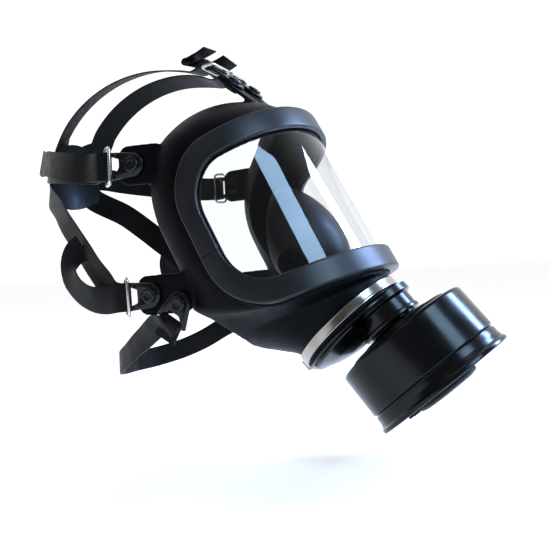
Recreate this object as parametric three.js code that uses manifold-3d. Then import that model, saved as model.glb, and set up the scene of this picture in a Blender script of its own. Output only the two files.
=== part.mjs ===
// Full face respirator with one screw-in filter canister, shown as it sits when worn.
// Units are millimetres. +Z is up, the visor faces -Y and +X is the wearer's left.
// The origin is inside the face seal, on the visor's axis at its mid-height.
import * as THREE from 'three';
import { mergeVertices } from 'three/addons/utils/BufferGeometryUtils.js';
import Module from 'manifold-3d';

const wasm = await Module();
wasm.setup();

// ---------------------------------------------------------------- driving dimensions

const GAP = 0.3;                 // clearance kept between pieces that touch

// visor: a piece of an upright elliptic cylinder, tilted with its lower edge forward
const LENS_AX = 89;              // half-width of the cylinder, across the face
const LENS_AY = 86;              // half-depth of the cylinder
const LENS_TILT = rad(27.2);
const LENS_THICK = 2.5;
const RIM_PROUD = 6.3;           // frame face above the lens's middle surface
const RIM_HALF_LEN = 148.5;      // half-length of the frame round the cylinder
const RIM_HALF_HT = 60;
const RIM_CORNER = 40;
const RIM_WIDTH = 15.2;
const RIM_BOW = 10.8;            // the frame is this much taller at its middle, each way
const RIM_WALL = 3.2;
const LENS_INSET = 3.6;          // lens edge inside the frame's outline
const SPLIT_GAP = 0.4;           // the two halves of the frame meet at each side

// rubber facepiece
const RUBBER = 3;
const LOOP_POINTS = 28;          // points round the facepiece's loops
const FLANGE_TOP = -(LENS_THICK / 2 + GAP + 0.1);    // flange under the lens's edge
const FLANGE_LOW = -4.8;
const FLANGE_INSET = -1.6;
const RUBBER_TOLERANCE = 0.05;   // slivers thinner than this are left out of the rubber
const CLEAR = 0.05;              // a cut reaches past a face, or stops short of it, by this much

// port in the chin, and the filter that screws into it
const PORT_Y = -77.5;
const PORT_Z = -63.5;
const PORT_TILT = rad(47.5);     // the port's axis dips this far below the horizontal
const CLAMP_R = 46.6;
const CLAMP_WIDTH = 8;
const CLAMP_THICK = 1.2;
const FILTER_Y = -115.9;
const FILTER_Z = -71.3;
const FILTER_TILT = rad(51);
const THREAD_R = 19.6;           // round thread of 40 mm, modelled plain
const SOCKET_R = 20.1;
const CONNECTOR_R = 23.5;
const CANISTER_R = 53.5;
const CANISTER_LEN = 48.7;
const CANISTER_WALL = 1.4;
const FLANGE_R = 55.2;

// harness
const STRAP_WIDTH = 22;
const STRAP_THICK = 2;
const FOLD_LENGTH = 3;           // length of a strap's fold at the front
const STUD_R = 4;
const STUD_HEAD_R = 7;            // head behind the tab
const STUD_HOLE_DEPTH = 12;
const LINK_REACH = 21;           // stud centre to the link's end bar
const WIRE = 2.4;
const BUCKLE_LEN = 31;
const BUCKLE_WIDTH = 13;

// the head that the harness is drawn round: half-axes and centre of an ellipsoid
const HEAD_X = 77.5;
const HEAD_Y = 110.8;
const HEAD_Z = 90;
const HEAD_CY = 91.5;
const HEAD_CZ = 66;

function rad(degrees) {
  return degrees * Math.PI / 180;
}

// ---------------------------------------------------------------- materials

function material(color, roughness, metalness = 0, more = {}) {
  return new THREE.MeshStandardMaterial({ color, roughness, metalness, ...more });
}

const rubberMat = material(0x15181d, 0.62);
const frameMat = material(0x26282b, 0.55);
const lensMat = material(0xe8ebee, 0.05, 0, { transparent: true, opacity: 0.3 });
const webMat = material(0x101114, 0.5);
const nickelMat = material(0xd9d6d0, 0.22, 1);
const steelMat = material(0xb9b2a4, 0.3, 1);
const plasticMat = material(0x0e0f11, 0.35);
const canisterMat = material(0x0f1012, 0.28);
const valveMat = material(0x2b2d30, 0.6);
const filterMat = material(0xe6e3da, 0.9);
const carbonMat = material(0x1c1c1c, 0.95);

// ---------------------------------------------------------------- mesh helpers

// a closed solid for manifold-3d from any closed three.js geometry
function solid(geometry) {
  const bare = geometry.clone();
  bare.deleteAttribute('normal');
  bare.deleteAttribute('uv');
  const merged = mergeVertices(bare, 1e-4);
  return new wasm.Manifold(new wasm.Mesh({
    numProp: 3,
    vertProperties: new Float32Array(merged.attributes.position.array),
    triVerts: new Uint32Array(merged.index.array),
  }));
}

// geometry of a joined or cut solid, without the slivers that cutting leaves
function geometryOf(body, tolerance = 0.02) {
  const mesh = body.simplify(tolerance).getMesh();
  const geometry = new THREE.BufferGeometry();
  geometry.setAttribute('position', new THREE.BufferAttribute(mesh.vertProperties, 3));
  geometry.setIndex(new THREE.BufferAttribute(mesh.triVerts, 1));
  geometry.computeVertexNormals();
  return geometry;
}

// geometry from rings of points: every ring has the same count, and each joins the next.
// ringsClosed joins the last ring to the first; otherwise cap(n) gives each end's triangles.
function sweep(rings, ringsClosed, cap) {
  const n = rings[0].length;
  const vertices = rings.flat().flatMap((p) => [p.x, p.y, p.z]);
  const faces = [];
  const last = ringsClosed ? rings.length : rings.length - 1;
  for (let i = 0; i < last; i += 1) {
    const a = i * n;
    const b = ((i + 1) % rings.length) * n;
    for (let j = 0; j < n; j += 1) {
      const k = (j + 1) % n;
      faces.push(a + j, a + k, b + k, a + j, b + k, b + j);
    }
  }
  if (!ringsClosed) {
    const end = (rings.length - 1) * n;
    for (const [p, q, r] of cap(n)) {
      faces.push(p, r, q, end + p, end + q, end + r);
    }
  }
  return outward(vertices, faces);
}

// turns the whole mesh the right way round if its volume comes out negative
function outward(vertices, faces) {
  let volume = 0;
  for (let i = 0; i < faces.length; i += 3) {
    const [a, b, c] = [0, 1, 2].map((k) => new THREE.Vector3().fromArray(vertices, faces[i + k] * 3));
    volume += a.dot(b.cross(c));
  }
  if (volume < 0) {
    for (let i = 0; i < faces.length; i += 3) {
      [faces[i + 1], faces[i + 2]] = [faces[i + 2], faces[i + 1]];
    }
  }
  const geometry = new THREE.BufferGeometry();
  geometry.setAttribute('position', new THREE.Float32BufferAttribute(vertices, 3));
  geometry.setIndex(faces);
  geometry.computeVertexNormals();
  return geometry;
}

// cap of a ring that is its own mirror image: strips between each point and its mirror point
function mirrorCap(n) {
  const faces = [[0, 1, n - 1]];
  for (let i = 1; i < n / 2 - 1; i += 1) {
    faces.push([i, i + 1, n - i - 1], [i, n - i - 1, n - i]);
  }
  faces.push([n / 2 - 1, n / 2, n / 2 + 1]);
  return faces;
}

// cap of a ring that runs up one face of a thin sheet and back down the other
function sheetCap(n) {
  const faces = [];
  for (let j = 0; j < n / 2 - 1; j += 1) {
    faces.push([j, j + 1, n - 2 - j], [j, n - 2 - j, n - 1 - j]);
  }
  return faces;
}

function fanCap(n) {
  return Array.from({ length: n - 2 }, (_, i) => [0, i + 1, i + 2]);
}

function lathe(profile, segments = 48) {
  const points = profile.map(([r, z]) => new THREE.Vector2(r, z));
  const geometry = new THREE.LatheGeometry(points, segments);
  geometry.rotateX(Math.PI / 2);
  return tidy(geometry);
}

// one closed mesh with shared vertices, its faces pointing out
function tidy(geometry) {
  geometry.deleteAttribute('normal');
  geometry.deleteAttribute('uv');
  const merged = mergeVertices(geometry, 1e-4);
  const index = Array.from(merged.index.array);
  const faces = [];
  for (let i = 0; i < index.length; i += 3) {
    const [a, b, c] = index.slice(i, i + 3);
    if (a !== b && b !== c && c !== a) faces.push(a, b, c);
  }
  return outward(Array.from(merged.attributes.position.array), faces);
}

// a ring about Z: a rectangle of radii and heights, turned through a full circle
function ringSolid(inner, outer, low, high, segments = 48) {
  return lathe([[inner, low], [outer, low], [outer, high], [inner, high], [inner, low]], segments);
}

function disc(radius, low, high, segments = 48) {
  return lathe([[0, low], [radius, low], [radius, high], [0, high]], segments);
}

function plate(shape, depth, curveSegments = 8) {
  return new THREE.ExtrudeGeometry(shape, { depth, bevelEnabled: false, curveSegments });
}

function roundedRect(width, height, radius, cx = 0, cy = 0) {
  const shape = new THREE.Shape();
  const [x0, x1] = [cx - width / 2, cx + width / 2];
  const [y0, y1] = [cy - height / 2, cy + height / 2];
  shape.moveTo(x0 + radius, y0);
  shape.lineTo(x1 - radius, y0);
  shape.absarc(x1 - radius, y0 + radius, radius, -Math.PI / 2, 0);
  shape.lineTo(x1, y1 - radius);
  shape.absarc(x1 - radius, y1 - radius, radius, 0, Math.PI / 2);
  shape.lineTo(x0 + radius, y1);
  shape.absarc(x0 + radius, y1 - radius, radius, Math.PI / 2, Math.PI);
  shape.lineTo(x0, y0 + radius);
  shape.absarc(x0 + radius, y0 + radius, radius, Math.PI, Math.PI * 1.5);
  return shape;
}

const respirator = new THREE.Group();

function add(name, geometry, mat, parent = respirator) {
  const mesh = new THREE.Mesh(geometry, mat);
  mesh.name = name;
  parent.add(mesh);
  return mesh;
}

const SIDES = [['right', -1], ['left', 1]];

// ---------------------------------------------------------------- visor

// a point on the visor: s runs round the cylinder, t up it, and rho is the height above the lens
function visorPoint(s, t, rho) {
  const theta = s / ((LENS_AX + LENS_AY) / 2 + RIM_PROUD);
  const y = -(LENS_AY + rho) * Math.cos(theta);
  const [c, d] = [Math.cos(LENS_TILT), Math.sin(LENS_TILT)];
  return new THREE.Vector3((LENS_AX + rho) * Math.sin(theta), y * c + t * d, t * c - y * d);
}

// steps round a corner, along half of the top, and down half of an end of the outline
const FINE = { corner: 6, top: 11, end: 2 };
const COARSE = { corner: 4, top: 6, end: 1 };

// the frame's outline, moved in by inset: rounded corners joined by straight sides, then bowed.
// It starts at the top middle and runs to the wearer's right, down, and back up the left.
function rimOutline(inset, detail) {
  const a = RIM_HALF_LEN - inset;
  const b = RIM_HALF_HT - inset;
  const r = Math.max(RIM_CORNER - inset * 0.6, 4);
  const half = [];
  for (let i = 0; i < detail.top; i += 1) half.push([-(a - r) * i / detail.top, b]);
  for (let i = 0; i < detail.corner; i += 1) {
    const q = Math.PI / 2 * i / detail.corner;
    half.push([-(a - r) - r * Math.sin(q), b - r + r * Math.cos(q)]);
  }
  for (let i = 0; i < detail.end; i += 1) half.push([-a, (b - r) * (1 - i / detail.end)]);
  half.push([-a, 0]);
  const lower = half.slice(0, -1).reverse().map(([s, t]) => [s, -t]);
  const right = [...half, ...lower];
  const left = right.slice(1, -1).reverse().map(([s, t]) => [-s, t]);
  return [...right, ...left].map(([s, t]) => [s, t + bow(s) * t / RIM_HALF_HT]);
}

function bow(s) {
  return RIM_BOW * (1 - (s / RIM_HALF_LEN) ** 2);
}

// a band that follows the outline; section lists [inset, rho] corners
function rimBand(section, detail) {
  const lines = section.map(([inset]) => rimOutline(inset, detail));
  const rings = lines[0].map((_, k) => section.map(([, rho], j) => visorPoint(...lines[j][k], rho)));
  return sweep(rings, true);
}

function lensGeometry() {
  const a = RIM_HALF_LEN - LENS_INSET;
  const b = RIM_HALF_HT - LENS_INSET;
  const r = RIM_CORNER - LENS_INSET * 0.6;
  const CORNER = 6;
  const MIDDLE = 16;
  const ROWS = 4;
  const columns = [];
  for (let i = 0; i < CORNER; i += 1) {
    const q = Math.PI / 2 * i / CORNER;
    columns.push([-(a - r) - r * Math.cos(q), b - r + r * Math.sin(q)]);
  }
  for (let i = 0; i < MIDDLE; i += 1) columns.push([(a - r) * (2 * i / MIDDLE - 1), b]);
  columns.push([a - r, b]);
  for (let i = 1; i <= CORNER; i += 1) {
    const q = Math.PI / 2 * i / CORNER;
    columns.push([a - r + r * Math.sin(q), b - r + r * Math.cos(q)]);
  }
  // each column is a ring: up the outer face and down the inner face
  const rings = columns.map(([s, top]) => {
    const ring = [];
    for (const rho of [LENS_THICK / 2, -LENS_THICK / 2]) {
      for (let j = 0; j <= ROWS; j += 1) {
        const t = top * (2 * j / ROWS - 1) * Math.sign(rho);
        ring.push(visorPoint(s, t + bow(s) * t / RIM_HALF_HT, rho));
      }
    }
    return ring;
  });
  return sweep(rings, false, sheetCap);
}

add('visor_lens', lensGeometry(), lensMat);

// the frame is an L: a face plate over the lens's edge and a wall down its outside
const plateLow = LENS_THICK / 2 + GAP + 0.15;
const wallLow = -2.6;
const frameSection = [
  [0, wallLow], [0, RIM_PROUD - 1], [1, RIM_PROUD], [RIM_WIDTH - 1.4, RIM_PROUD],
  [RIM_WIDTH, RIM_PROUD - 1.4], [RIM_WIDTH, plateLow], [RIM_WALL, plateLow], [RIM_WALL, wallLow],
];

function cutter(width, depth, height, x, y, z) {
  return solid(tidy(new THREE.BoxGeometry(width, depth, height).translate(x, y, z)));
}

// the frame splits at each side along a plane through the cylinder's axis
const REACH = 400;
const SPLIT_T = -13;             // the split is below the middle of the side
const frameRing = solid(rimBand(frameSection, FINE));
const splitMatrix = new THREE.Matrix4().makeRotationX(-LENS_TILT);
function framePart(sign) {
  const half = new THREE.BoxGeometry(REACH, REACH, REACH);
  half.translate(0, 0, SPLIT_T + sign * (REACH / 2 + SPLIT_GAP / 2));
  half.applyMatrix4(splitMatrix);
  return geometryOf(frameRing.intersect(solid(tidy(half))));
}
add('visor_frame_upper', framePart(1), frameMat);
add('visor_frame_lower', framePart(-1), frameMat);

// ---------------------------------------------------------------- facepiece

const v3 = (x, y, z) => new THREE.Vector3(x, y, z);

// evenly spaced points on half a loop, from the top middle round the wearer's right to the
// bottom middle, then mirrored to the left
function mirroredLoop(half) {
  const side = half.slice(1, -1).reverse().map((p) => v3(-p.x, p.y, p.z));
  return [...half, ...side];
}

function halfLoop(points) {
  const curve = new THREE.CatmullRomCurve3(points, false, 'centripetal');
  const half = curve.getSpacedPoints(LOOP_POINTS / 2);
  half[0].x = 0;
  half[half.length - 1].x = 0;
  return mirroredLoop(half);
}

// edge of the facepiece against the head, on the wearer's right
const SKIRT = [
  [0, -3, 114], [-22, 0, 113], [-41, 9, 109], [-56, 21, 101], [-67, 33, 89], [-73, 43, 75],
  [-75, 50, 45], [-74.5, 46, 20], [-73.5, 36, -2], [-73, 27, -20], [-72, 20, -46],
  [-65, 4, -57], [-48, -6, -70], [-26, -8, -80], [0, -8, -84],
].map((p) => v3(...p));

// edge of the facepiece under the visor frame
function frontLoop(inset, rho) {
  const outline = rimOutline(inset, FINE);
  const half = outline.slice(0, outline.length / 2 + 1).map(([s, t]) => visorPoint(s, t, rho));
  return halfLoop(half);
}

const shellCentre = v3(0, -20, 5);
const AXIAL = v3(0, 1, 0);

// moves a loop in towards the middle of the face, without moving it along the face's axis
function shrink(loop, amount) {
  return loop.map((p) => {
    const out = p.clone().sub(shellCentre).setY(0).normalize();
    return p.clone().addScaledVector(out, -amount);
  });
}

function shiftLoop(loop, amount) {
  return loop.map((p) => p.clone().addScaledVector(AXIAL, amount));
}

function blendLoops(a, b, f, bulge) {
  const mid = a.map((p, i) => p.clone().lerp(b[i], f));
  return shrink(mid, -bulge);
}

const COLLAR = [[0.3, 3.5], [0.65, 4]];      // [place between the edges, bulge]
const SEAL_WIDTH = 15;           // the face seal turns in this far from the facepiece's edge
const SEAL_FORWARD = 12;
const SEAL_THICK = 2.6;
const WALL_ROOM = wallLow - GAP; // rubber under the frame's wall stays below this
const skirtEdge = halfLoop(SKIRT);
const frontEdge = frontLoop(FLANGE_INSET, FLANGE_LOW);
const collarLoops = COLLAR.map(([f, bulge]) => blendLoops(frontEdge, skirtEdge, f, bulge));
const sealTip = shiftLoop(shrink(skirtEdge, SEAL_WIDTH), -SEAL_FORWARD);
const loft = (loops) => solid(sweep(loops, false, mirrorCap));

// the collar's section, from under the visor frame back to the face seal and forward inside
const collarSection = [
  frontLoop(FLANGE_INSET, WALL_ROOM),
  frontEdge,
  ...collarLoops,
  skirtEdge,
  sealTip,
  shiftLoop(sealTip, -SEAL_THICK),
  shiftLoop(shrink(skirtEdge, RUBBER), -SEAL_THICK - 1),
  ...collarLoops.map((loop) => shrink(loop, RUBBER)).reverse(),
  frontLoop(RUBBER, FLANGE_LOW),
  frontLoop(RIM_WIDTH, FLANGE_LOW),
  frontLoop(RIM_WIDTH, FLANGE_TOP),
  frontLoop(RIM_WALL + GAP, FLANGE_TOP),
  frontLoop(RIM_WALL + GAP, WALL_ROOM),
];
const collar = solid(sweep(collarSection, true));

// the space inside the collar, without the face seal, carried on to flat ends
const CAVITY_FRONT = -135;
const CAVITY_BACK = 75;
const flattened = (loop, y) => loop.map((p) => p.clone().setY(y));
const innerLoops = [frontEdge, ...collarLoops, skirtEdge].map((loop) => shrink(loop, RUBBER + 0.4));
const cavity = loft([
  flattened(innerLoops[0], CAVITY_FRONT),
  ...innerLoops,
  flattened(innerLoops[innerLoops.length - 1], CAVITY_BACK),
]);

// chin piece: from the clamp back to the cheeks; each section is [z, y centre, half x, half y]
// in the port's frame, whose +Z leaves the mask and +Y points up and forward
const SNOUT = [
  [6, 0, 45, 45], [-6.5, 0, 45, 45], [-20, -4, 51, 51], [-38, -9, 63, 60], [-70, -14, 72, 66],
];

function portMatrix(y, z, tilt) {
  const m = new THREE.Matrix4().makeRotationX(Math.PI / 2 + tilt);
  return m.setPosition(0, y, z);
}
const portPlace = portMatrix(PORT_Y, PORT_Z, PORT_TILT);
const filterPlace = portMatrix(FILTER_Y, FILTER_Z, FILTER_TILT);

function snoutLoft(inset) {
  const N = 24;
  const rings = SNOUT.map(([z, cy, rx, ry]) => Array.from({ length: N }, (_, i) => {
    const q = 2 * Math.PI * i / N;
    return v3((rx - inset) * Math.sin(q), cy + (ry - inset) * Math.cos(q), z);
  }));
  if (inset > 0) {
    rings.unshift(rings[0].map((p) => p.clone().setZ(p.z + 5)));
    rings.push(rings[rings.length - 1].map((p) => p.clone().setZ(p.z - 14)));
  }
  return solid(sweep(rings, false, mirrorCap).applyMatrix4(portPlace));
}

// everything well in front of the facepiece's edge, as an extrusion across the face
function inFrontOfSkirt() {
  const FAR = 260;
  const half = shiftLoop(skirtEdge, -RUBBER / 2).slice(0, LOOP_POINTS / 2 + 1);
  const shape = new THREE.Shape([
    new THREE.Vector2(half[0].y, FAR),
    ...half.map((p) => new THREE.Vector2(p.y, p.z)),
    new THREE.Vector2(half[half.length - 1].y, -FAR),
    new THREE.Vector2(-FAR, -FAR),
    new THREE.Vector2(-FAR, FAR),
  ]);
  const wide = plate(shape, 2 * FAR).translate(0, 0, -FAR);
  // the shape was drawn in (y, z): stand it up so that the extrusion runs along x
  const stand = new THREE.Matrix4().makeBasis(v3(0, 1, 0), v3(0, 0, 1), v3(1, 0, 0));
  return solid(tidy(wide.applyMatrix4(stand)));
}

// strap tabs: each has its stud's place, the strap's direction and the outward normal,
// on the wearer's right
const TABS = {
  top: { at: [-17, 7, 131.5], along: [0, 0.77, 0.64], out: [0, -0.64, 0.77], root: 30, width: 25 },
  temple: { at: [-80, 62, 63.5], along: [-0.17, 0.985, 0], out: [-0.985, -0.17, 0], root: 26, width: 31 },
  lower: { at: [-79, 50, -36], along: [-0.02, 1, -0.05], out: [-1, -0.02, 0], root: 36, width: 30 },
};
const NECK = { at: [-79.5, 24, -43], along: [0, 0.5, -0.86], out: [-1, -0.02, 0] };
const TAB_END = 12.5;

// frame at a stud: X along the strap, Z outward
function studFrame(spec, sign) {
  const flip = (p) => v3(p[0] * -sign, p[1], p[2]);
  const z = flip(spec.out).normalize();
  const x = flip(spec.along);
  x.addScaledVector(z, -x.dot(z)).normalize();
  const y = z.clone().cross(x);
  return new THREE.Matrix4().makeBasis(x, y, z).setPosition(flip(spec.at));
}

function tabGeometry(spec, sign) {
  const length = spec.root + TAB_END;
  const shape = roundedRect(length, spec.width, 9, TAB_END - length / 2, 0);
  return plate(shape, RUBBER, 3).translate(0, 0, -RUBBER).applyMatrix4(studFrame(spec, sign));
}

// the space that the face seal fills, made a little larger
function sealSpace() {
  const lip = shrink(skirtEdge, -1);
  return loft([shiftLoop(lip, 1), shiftLoop(lip, -SEAL_THICK - 2), shiftLoop(sealTip, -SEAL_THICK - 1)]);
}

// the space round the neck that the clamp and the port housing need
function portRoom() {
  const [NECK_FRONT, , NECK_R] = SNOUT[0];
  const BEYOND = 12;
  const inner = NECK_R + GAP - CLEAR;
  const around = ringSolid(inner, NECK_R + BEYOND, -CLAMP_WIDTH / 2 - GAP, NECK_FRONT + 1);
  const front = disc(NECK_R + BEYOND - 3, NECK_FRONT + 0.1, 40);
  return solid(around.applyMatrix4(portPlace)).add(solid(front.applyMatrix4(portPlace)));
}

// the space that the frame and the lens need, lowered a little into the collar's flange
function frameRoom() {
  const SUNK = 0.7;
  const FAR_OUT = 30;
  const section = [
    [-FAR_OUT, WALL_ROOM - SUNK], [-FAR_OUT, FAR_OUT], [RIM_WIDTH + 2, FAR_OUT],
    [RIM_WIDTH + 2, WALL_ROOM - SUNK],
  ];
  return solid(rimBand(section, COARSE));
}

function facepieceGeometry() {
  const room = frameRoom();
  const chinInside = snoutLoft(RUBBER).subtract(sealSpace());
  const chin = snoutLoft(0).intersect(inFrontOfSkirt()).subtract(cavity).subtract(room);
  let body = collar.add(chin);
  for (const spec of Object.values(TABS)) {
    for (const [, sign] of SIDES) {
      const tab = solid(tidy(tabGeometry(spec, sign)));
      body = body.add(tab.subtract(cavity).subtract(room));
    }
  }
  body = body.subtract(chinInside).subtract(portRoom());
  for (const spec of [...Object.values(TABS), NECK]) {
    for (const [, sign] of SIDES) {
      const hole = disc(STUD_R + 2 * GAP, -STUD_HOLE_DEPTH, STUD_HOLE_DEPTH, 12);
      const pocket = disc(STUD_HEAD_R + 2 * GAP, -STUD_HOLE_DEPTH, -RUBBER - CLEAR, 12);
      for (const cut of [hole, pocket]) {
        body = body.subtract(solid(cut.applyMatrix4(studFrame(spec, sign))));
      }
    }
  }
  return geometryOf(body, RUBBER_TOLERANCE);
}

add('facepiece', facepieceGeometry(), rubberMat);

// ---------------------------------------------------------------- nose cup

const CUP = { x: 36, depth: 31, long: 50, y: -40, z: 2, wall: 2.2 };
const CUP_TILT = Math.atan2(0.62, 0.78);     // the cup leans like the lens
const CUP_BACK = -26;                        // the cup is open behind this plane
const THROAT_R = 18;                         // opening of the cup onto the port
const CUP_VALVE = { x: -27, y: -46, z: -14, r: 11 };
const cupTurn = new THREE.Matrix4().makeRotationX(-CUP_TILT).setPosition(0, CUP.y, CUP.z);

function cupEllipsoid(inset) {
  const ball = new THREE.SphereGeometry(1, 20, 12);
  ball.scale(CUP.x - inset, CUP.depth - inset, CUP.long - inset);
  return solid(tidy(ball.applyMatrix4(cupTurn)));
}

// frame of a cheek valve of the nose cup: Z points outward through the cup's wall
function cupValveFrame(sign) {
  const at = v3(CUP_VALVE.x * -sign, CUP_VALVE.y, CUP_VALVE.z);
  const local = at.clone().applyMatrix4(cupTurn.clone().invert());
  const grown = v3(local.x / CUP.x, local.y / CUP.depth, local.z / CUP.long);
  grown.multiplyScalar(1 / grown.length());
  const place = v3(grown.x * CUP.x, grown.y * CUP.depth, grown.z * CUP.long).applyMatrix4(cupTurn);
  const out = v3(grown.x / CUP.x, grown.y / CUP.depth, grown.z / CUP.long)
    .transformDirection(cupTurn);
  const up = v3(0, 0, 1);
  const x = up.clone().cross(out).normalize();
  return new THREE.Matrix4().makeBasis(x, out.clone().cross(x), out).setPosition(place);
}

const SEAT_HIGH = 2.6;           // the seat's outer end, measured from the cup's surface
const SEAT_LOW = -3.4;
const SPOKE_HIGH = 1.4;

function noseCupGeometry() {
  const FAR = 120;
  let cup = cupEllipsoid(0).subtract(cupEllipsoid(CUP.wall));
  cup = cup.subtract(cutter(2 * FAR, FAR, 2 * FAR, 0, CUP_BACK + FAR / 2, 0));
  const throat = disc(THROAT_R, -FAR / 3, FAR, 24).applyMatrix4(portPlace);
  cup = cup.subtract(solid(throat));
  for (const [, sign] of SIDES) {
    const hole = disc(CUP_VALVE.r + GAP, SEAT_LOW * 2, SEAT_HIGH * 3, 20);
    cup = cup.subtract(solid(hole.applyMatrix4(cupValveFrame(sign))));
  }
  return geometryOf(cup);
}

// round seat with spokes; the disc lies against its inner side
function seatGeometry() {
  const SPOKES = 8;
  const HUB_R = 2.4;
  const SPOKE = 1.1;
  let seat = solid(ringSolid(CUP_VALVE.r - 2.2, CUP_VALVE.r, SEAT_LOW, SEAT_HIGH, 20));
  seat = seat.add(solid(ringSolid(CUP_VALVE.r - 1, CUP_VALVE.r + 1.6, SPOKE_HIGH, SEAT_HIGH, 20)));
  seat = seat.add(solid(disc(HUB_R, 0, SPOKE_HIGH, 10)));
  for (let i = 0; i < SPOKES / 2; i += 1) {
    const bar = new THREE.BoxGeometry(2 * CUP_VALVE.r - 2, SPOKE, 1.2);
    bar.translate(0, 0, 0.7).rotateZ(Math.PI * i / (SPOKES / 2));
    seat = seat.add(solid(tidy(bar)));
  }
  return geometryOf(seat);
}

const CUP_DISC_R = CUP_VALVE.r - 2.6;
add('nose_cup', noseCupGeometry(), valveMat);
for (const [side, sign] of SIDES) {
  const frame = cupValveFrame(sign);
  add(`cup_valve_seat_${side}`, seatGeometry().applyMatrix4(frame), valveMat);
  add(`cup_valve_disc_${side}`, disc(CUP_DISC_R, -1.3, -0.3, 20).applyMatrix4(frame), valveMat);
}

// ---------------------------------------------------------------- port and connector

const CLAMP_GAP = 9.6;
function clampGeometry() {
  const band = solid(ringSolid(CLAMP_R - CLAMP_THICK, CLAMP_R, -CLAMP_WIDTH / 2, CLAMP_WIDTH / 2, 48));
  const cut = cutter(CLAMP_GAP, 12, 3 * CLAMP_WIDTH, 0, -CLAMP_R, 0);
  return geometryOf(band.subtract(cut)).applyMatrix4(portPlace);
}
add('clamp_band', clampGeometry(), steelMat);

const BLOCK_HEIGHT = 5.4;
const block = plate(roundedRect(CLAMP_GAP - 2 * GAP, CLAMP_WIDTH + 1, 1.4), BLOCK_HEIGHT, 3);
block.rotateX(Math.PI / 2).translate(0, -CLAMP_R + CLAMP_THICK, 0);
add('clamp_buckle', block.applyMatrix4(portPlace), steelMat);

// the housing plugs the rubber neck; the connector stands on its upper part and the
// exhalation valve sits in its lower part
const NECK_BORE = 42;
const HOUSING = { low: -9, lip: 6.4, face: 8.6, lipR: 44.6, plugR: NECK_BORE - 0.9 };
const EXHALE = { y: -17, bore: 12.5, disc: 15, cover: 42.6 };
const INLET = { y: 21.5, bore: 11.5, recess: 14.4, web: [-3, -1] };
const CONNECTOR_END = -8;        // the connector's mouth, along the filter's axis
const SOCKET_FLOOR = CONNECTOR_END - 14.6;
const CONNECTOR_ROOT = 8;        // the connector's foot runs this far into the housing
const MOUTH_PROUD = 0.9;
const PASSAGE_R = 15;

function housingGeometry() {
  const FAR = 40;
  const connector = disc(CONNECTOR_R, SOCKET_FLOOR - CONNECTOR_ROOT, CONNECTOR_END, 32);
  const mouth = disc(CONNECTOR_R + MOUTH_PROUD, CONNECTOR_END - 3, CONNECTOR_END, 32);
  let body = solid(disc(HOUSING.plugR, HOUSING.low, HOUSING.face, 36).applyMatrix4(portPlace));
  body = body.add(solid(disc(HOUSING.lipR, HOUSING.lip, HOUSING.face, 36).applyMatrix4(portPlace)));
  body = body.add(solid(connector.applyMatrix4(filterPlace)));
  body = body.add(solid(mouth.applyMatrix4(filterPlace)));
  // nothing of the connector reaches back over the clamp
  const behind = ringSolid(HOUSING.plugR, 70, -FAR, HOUSING.lip, 36);
  body = body.subtract(solid(behind.applyMatrix4(portPlace)));
  body = body.subtract(solid(disc(SOCKET_R, SOCKET_FLOOR, 10, 32).applyMatrix4(filterPlace)));
  const passage = disc(PASSAGE_R, SOCKET_FLOOR - CONNECTOR_ROOT + 0.5, 0, 24);
  body = body.subtract(solid(passage.applyMatrix4(filterPlace)));
  const holes = [
    disc(INLET.recess, HOUSING.low - 1, INLET.web[0], 24).translate(0, INLET.y, 0),
    disc(INLET.bore, INLET.web[0] - 1, INLET.web[1] + 1, 24).translate(0, INLET.y, 0),
    disc(EXHALE.bore, HOUSING.low - 1, FAR / 2, 24).translate(0, EXHALE.y, 0),
  ];
  for (const hole of holes) body = body.subtract(solid(hole.applyMatrix4(portPlace)));
  return geometryOf(body);
}
add('port_housing', housingGeometry(), plasticMat);

const DISC_THICK = 1.2;
const inletDisc = disc(INLET.bore + 1.9, INLET.web[0] - GAP - DISC_THICK, INLET.web[0] - GAP, 24);
add('inlet_valve_disc', inletDisc.translate(0, INLET.y, 0).applyMatrix4(portPlace), valveMat);
const exhaleLow = HOUSING.face + GAP;
const exhaleDisc = disc(EXHALE.disc, exhaleLow, exhaleLow + DISC_THICK, 24);
add('exhale_valve_disc', exhaleDisc.translate(0, EXHALE.y, 0).applyMatrix4(portPlace), valveMat);

// domed cover over the exhalation valve, cut round the connector and open at its lower edge
const COVER_DOME = [[0, 20.4], [14, 19.4], [27, 16.4], [36, 13], [41.4, 11.4], [42.6, 10.2]];
const COVER_WALL = 1.8;
function coverGeometry() {
  const low = HOUSING.face + GAP;
  const shell = lathe([...COVER_DOME, [EXHALE.cover, low], [EXHALE.cover - COVER_WALL, low],
    ...COVER_DOME.slice(1, -1).reverse().map(([r, z]) => [r - COVER_WALL * 0.7, z - COVER_WALL]),
    [0, COVER_DOME[0][1] - COVER_WALL]], 36);
  let body = solid(shell.applyMatrix4(portPlace));
  const room = disc(CONNECTOR_R + MOUTH_PROUD + GAP, -60, 20, 32);
  body = body.subtract(solid(room.applyMatrix4(filterPlace)));
  // the cover stops short of the connector's middle
  const UPPER = { width: 120, depth: 60, height: 80, from: INLET.y - 10 };
  const upper = new THREE.BoxGeometry(UPPER.width, UPPER.depth, UPPER.height);
  upper.translate(0, UPPER.from + UPPER.depth / 2, UPPER.height / 4);
  body = body.subtract(solid(tidy(upper).applyMatrix4(portPlace)));
  const VENT = { width: 26, height: 1.9 };
  const vent = new THREE.BoxGeometry(VENT.width, 16, VENT.height);
  vent.translate(0, -EXHALE.cover, low + VENT.height / 2 - 0.2);
  body = body.subtract(solid(tidy(vent).applyMatrix4(portPlace)));
  return geometryOf(body);
}
add('exhale_cover', coverGeometry(), plasticMat);

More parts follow.
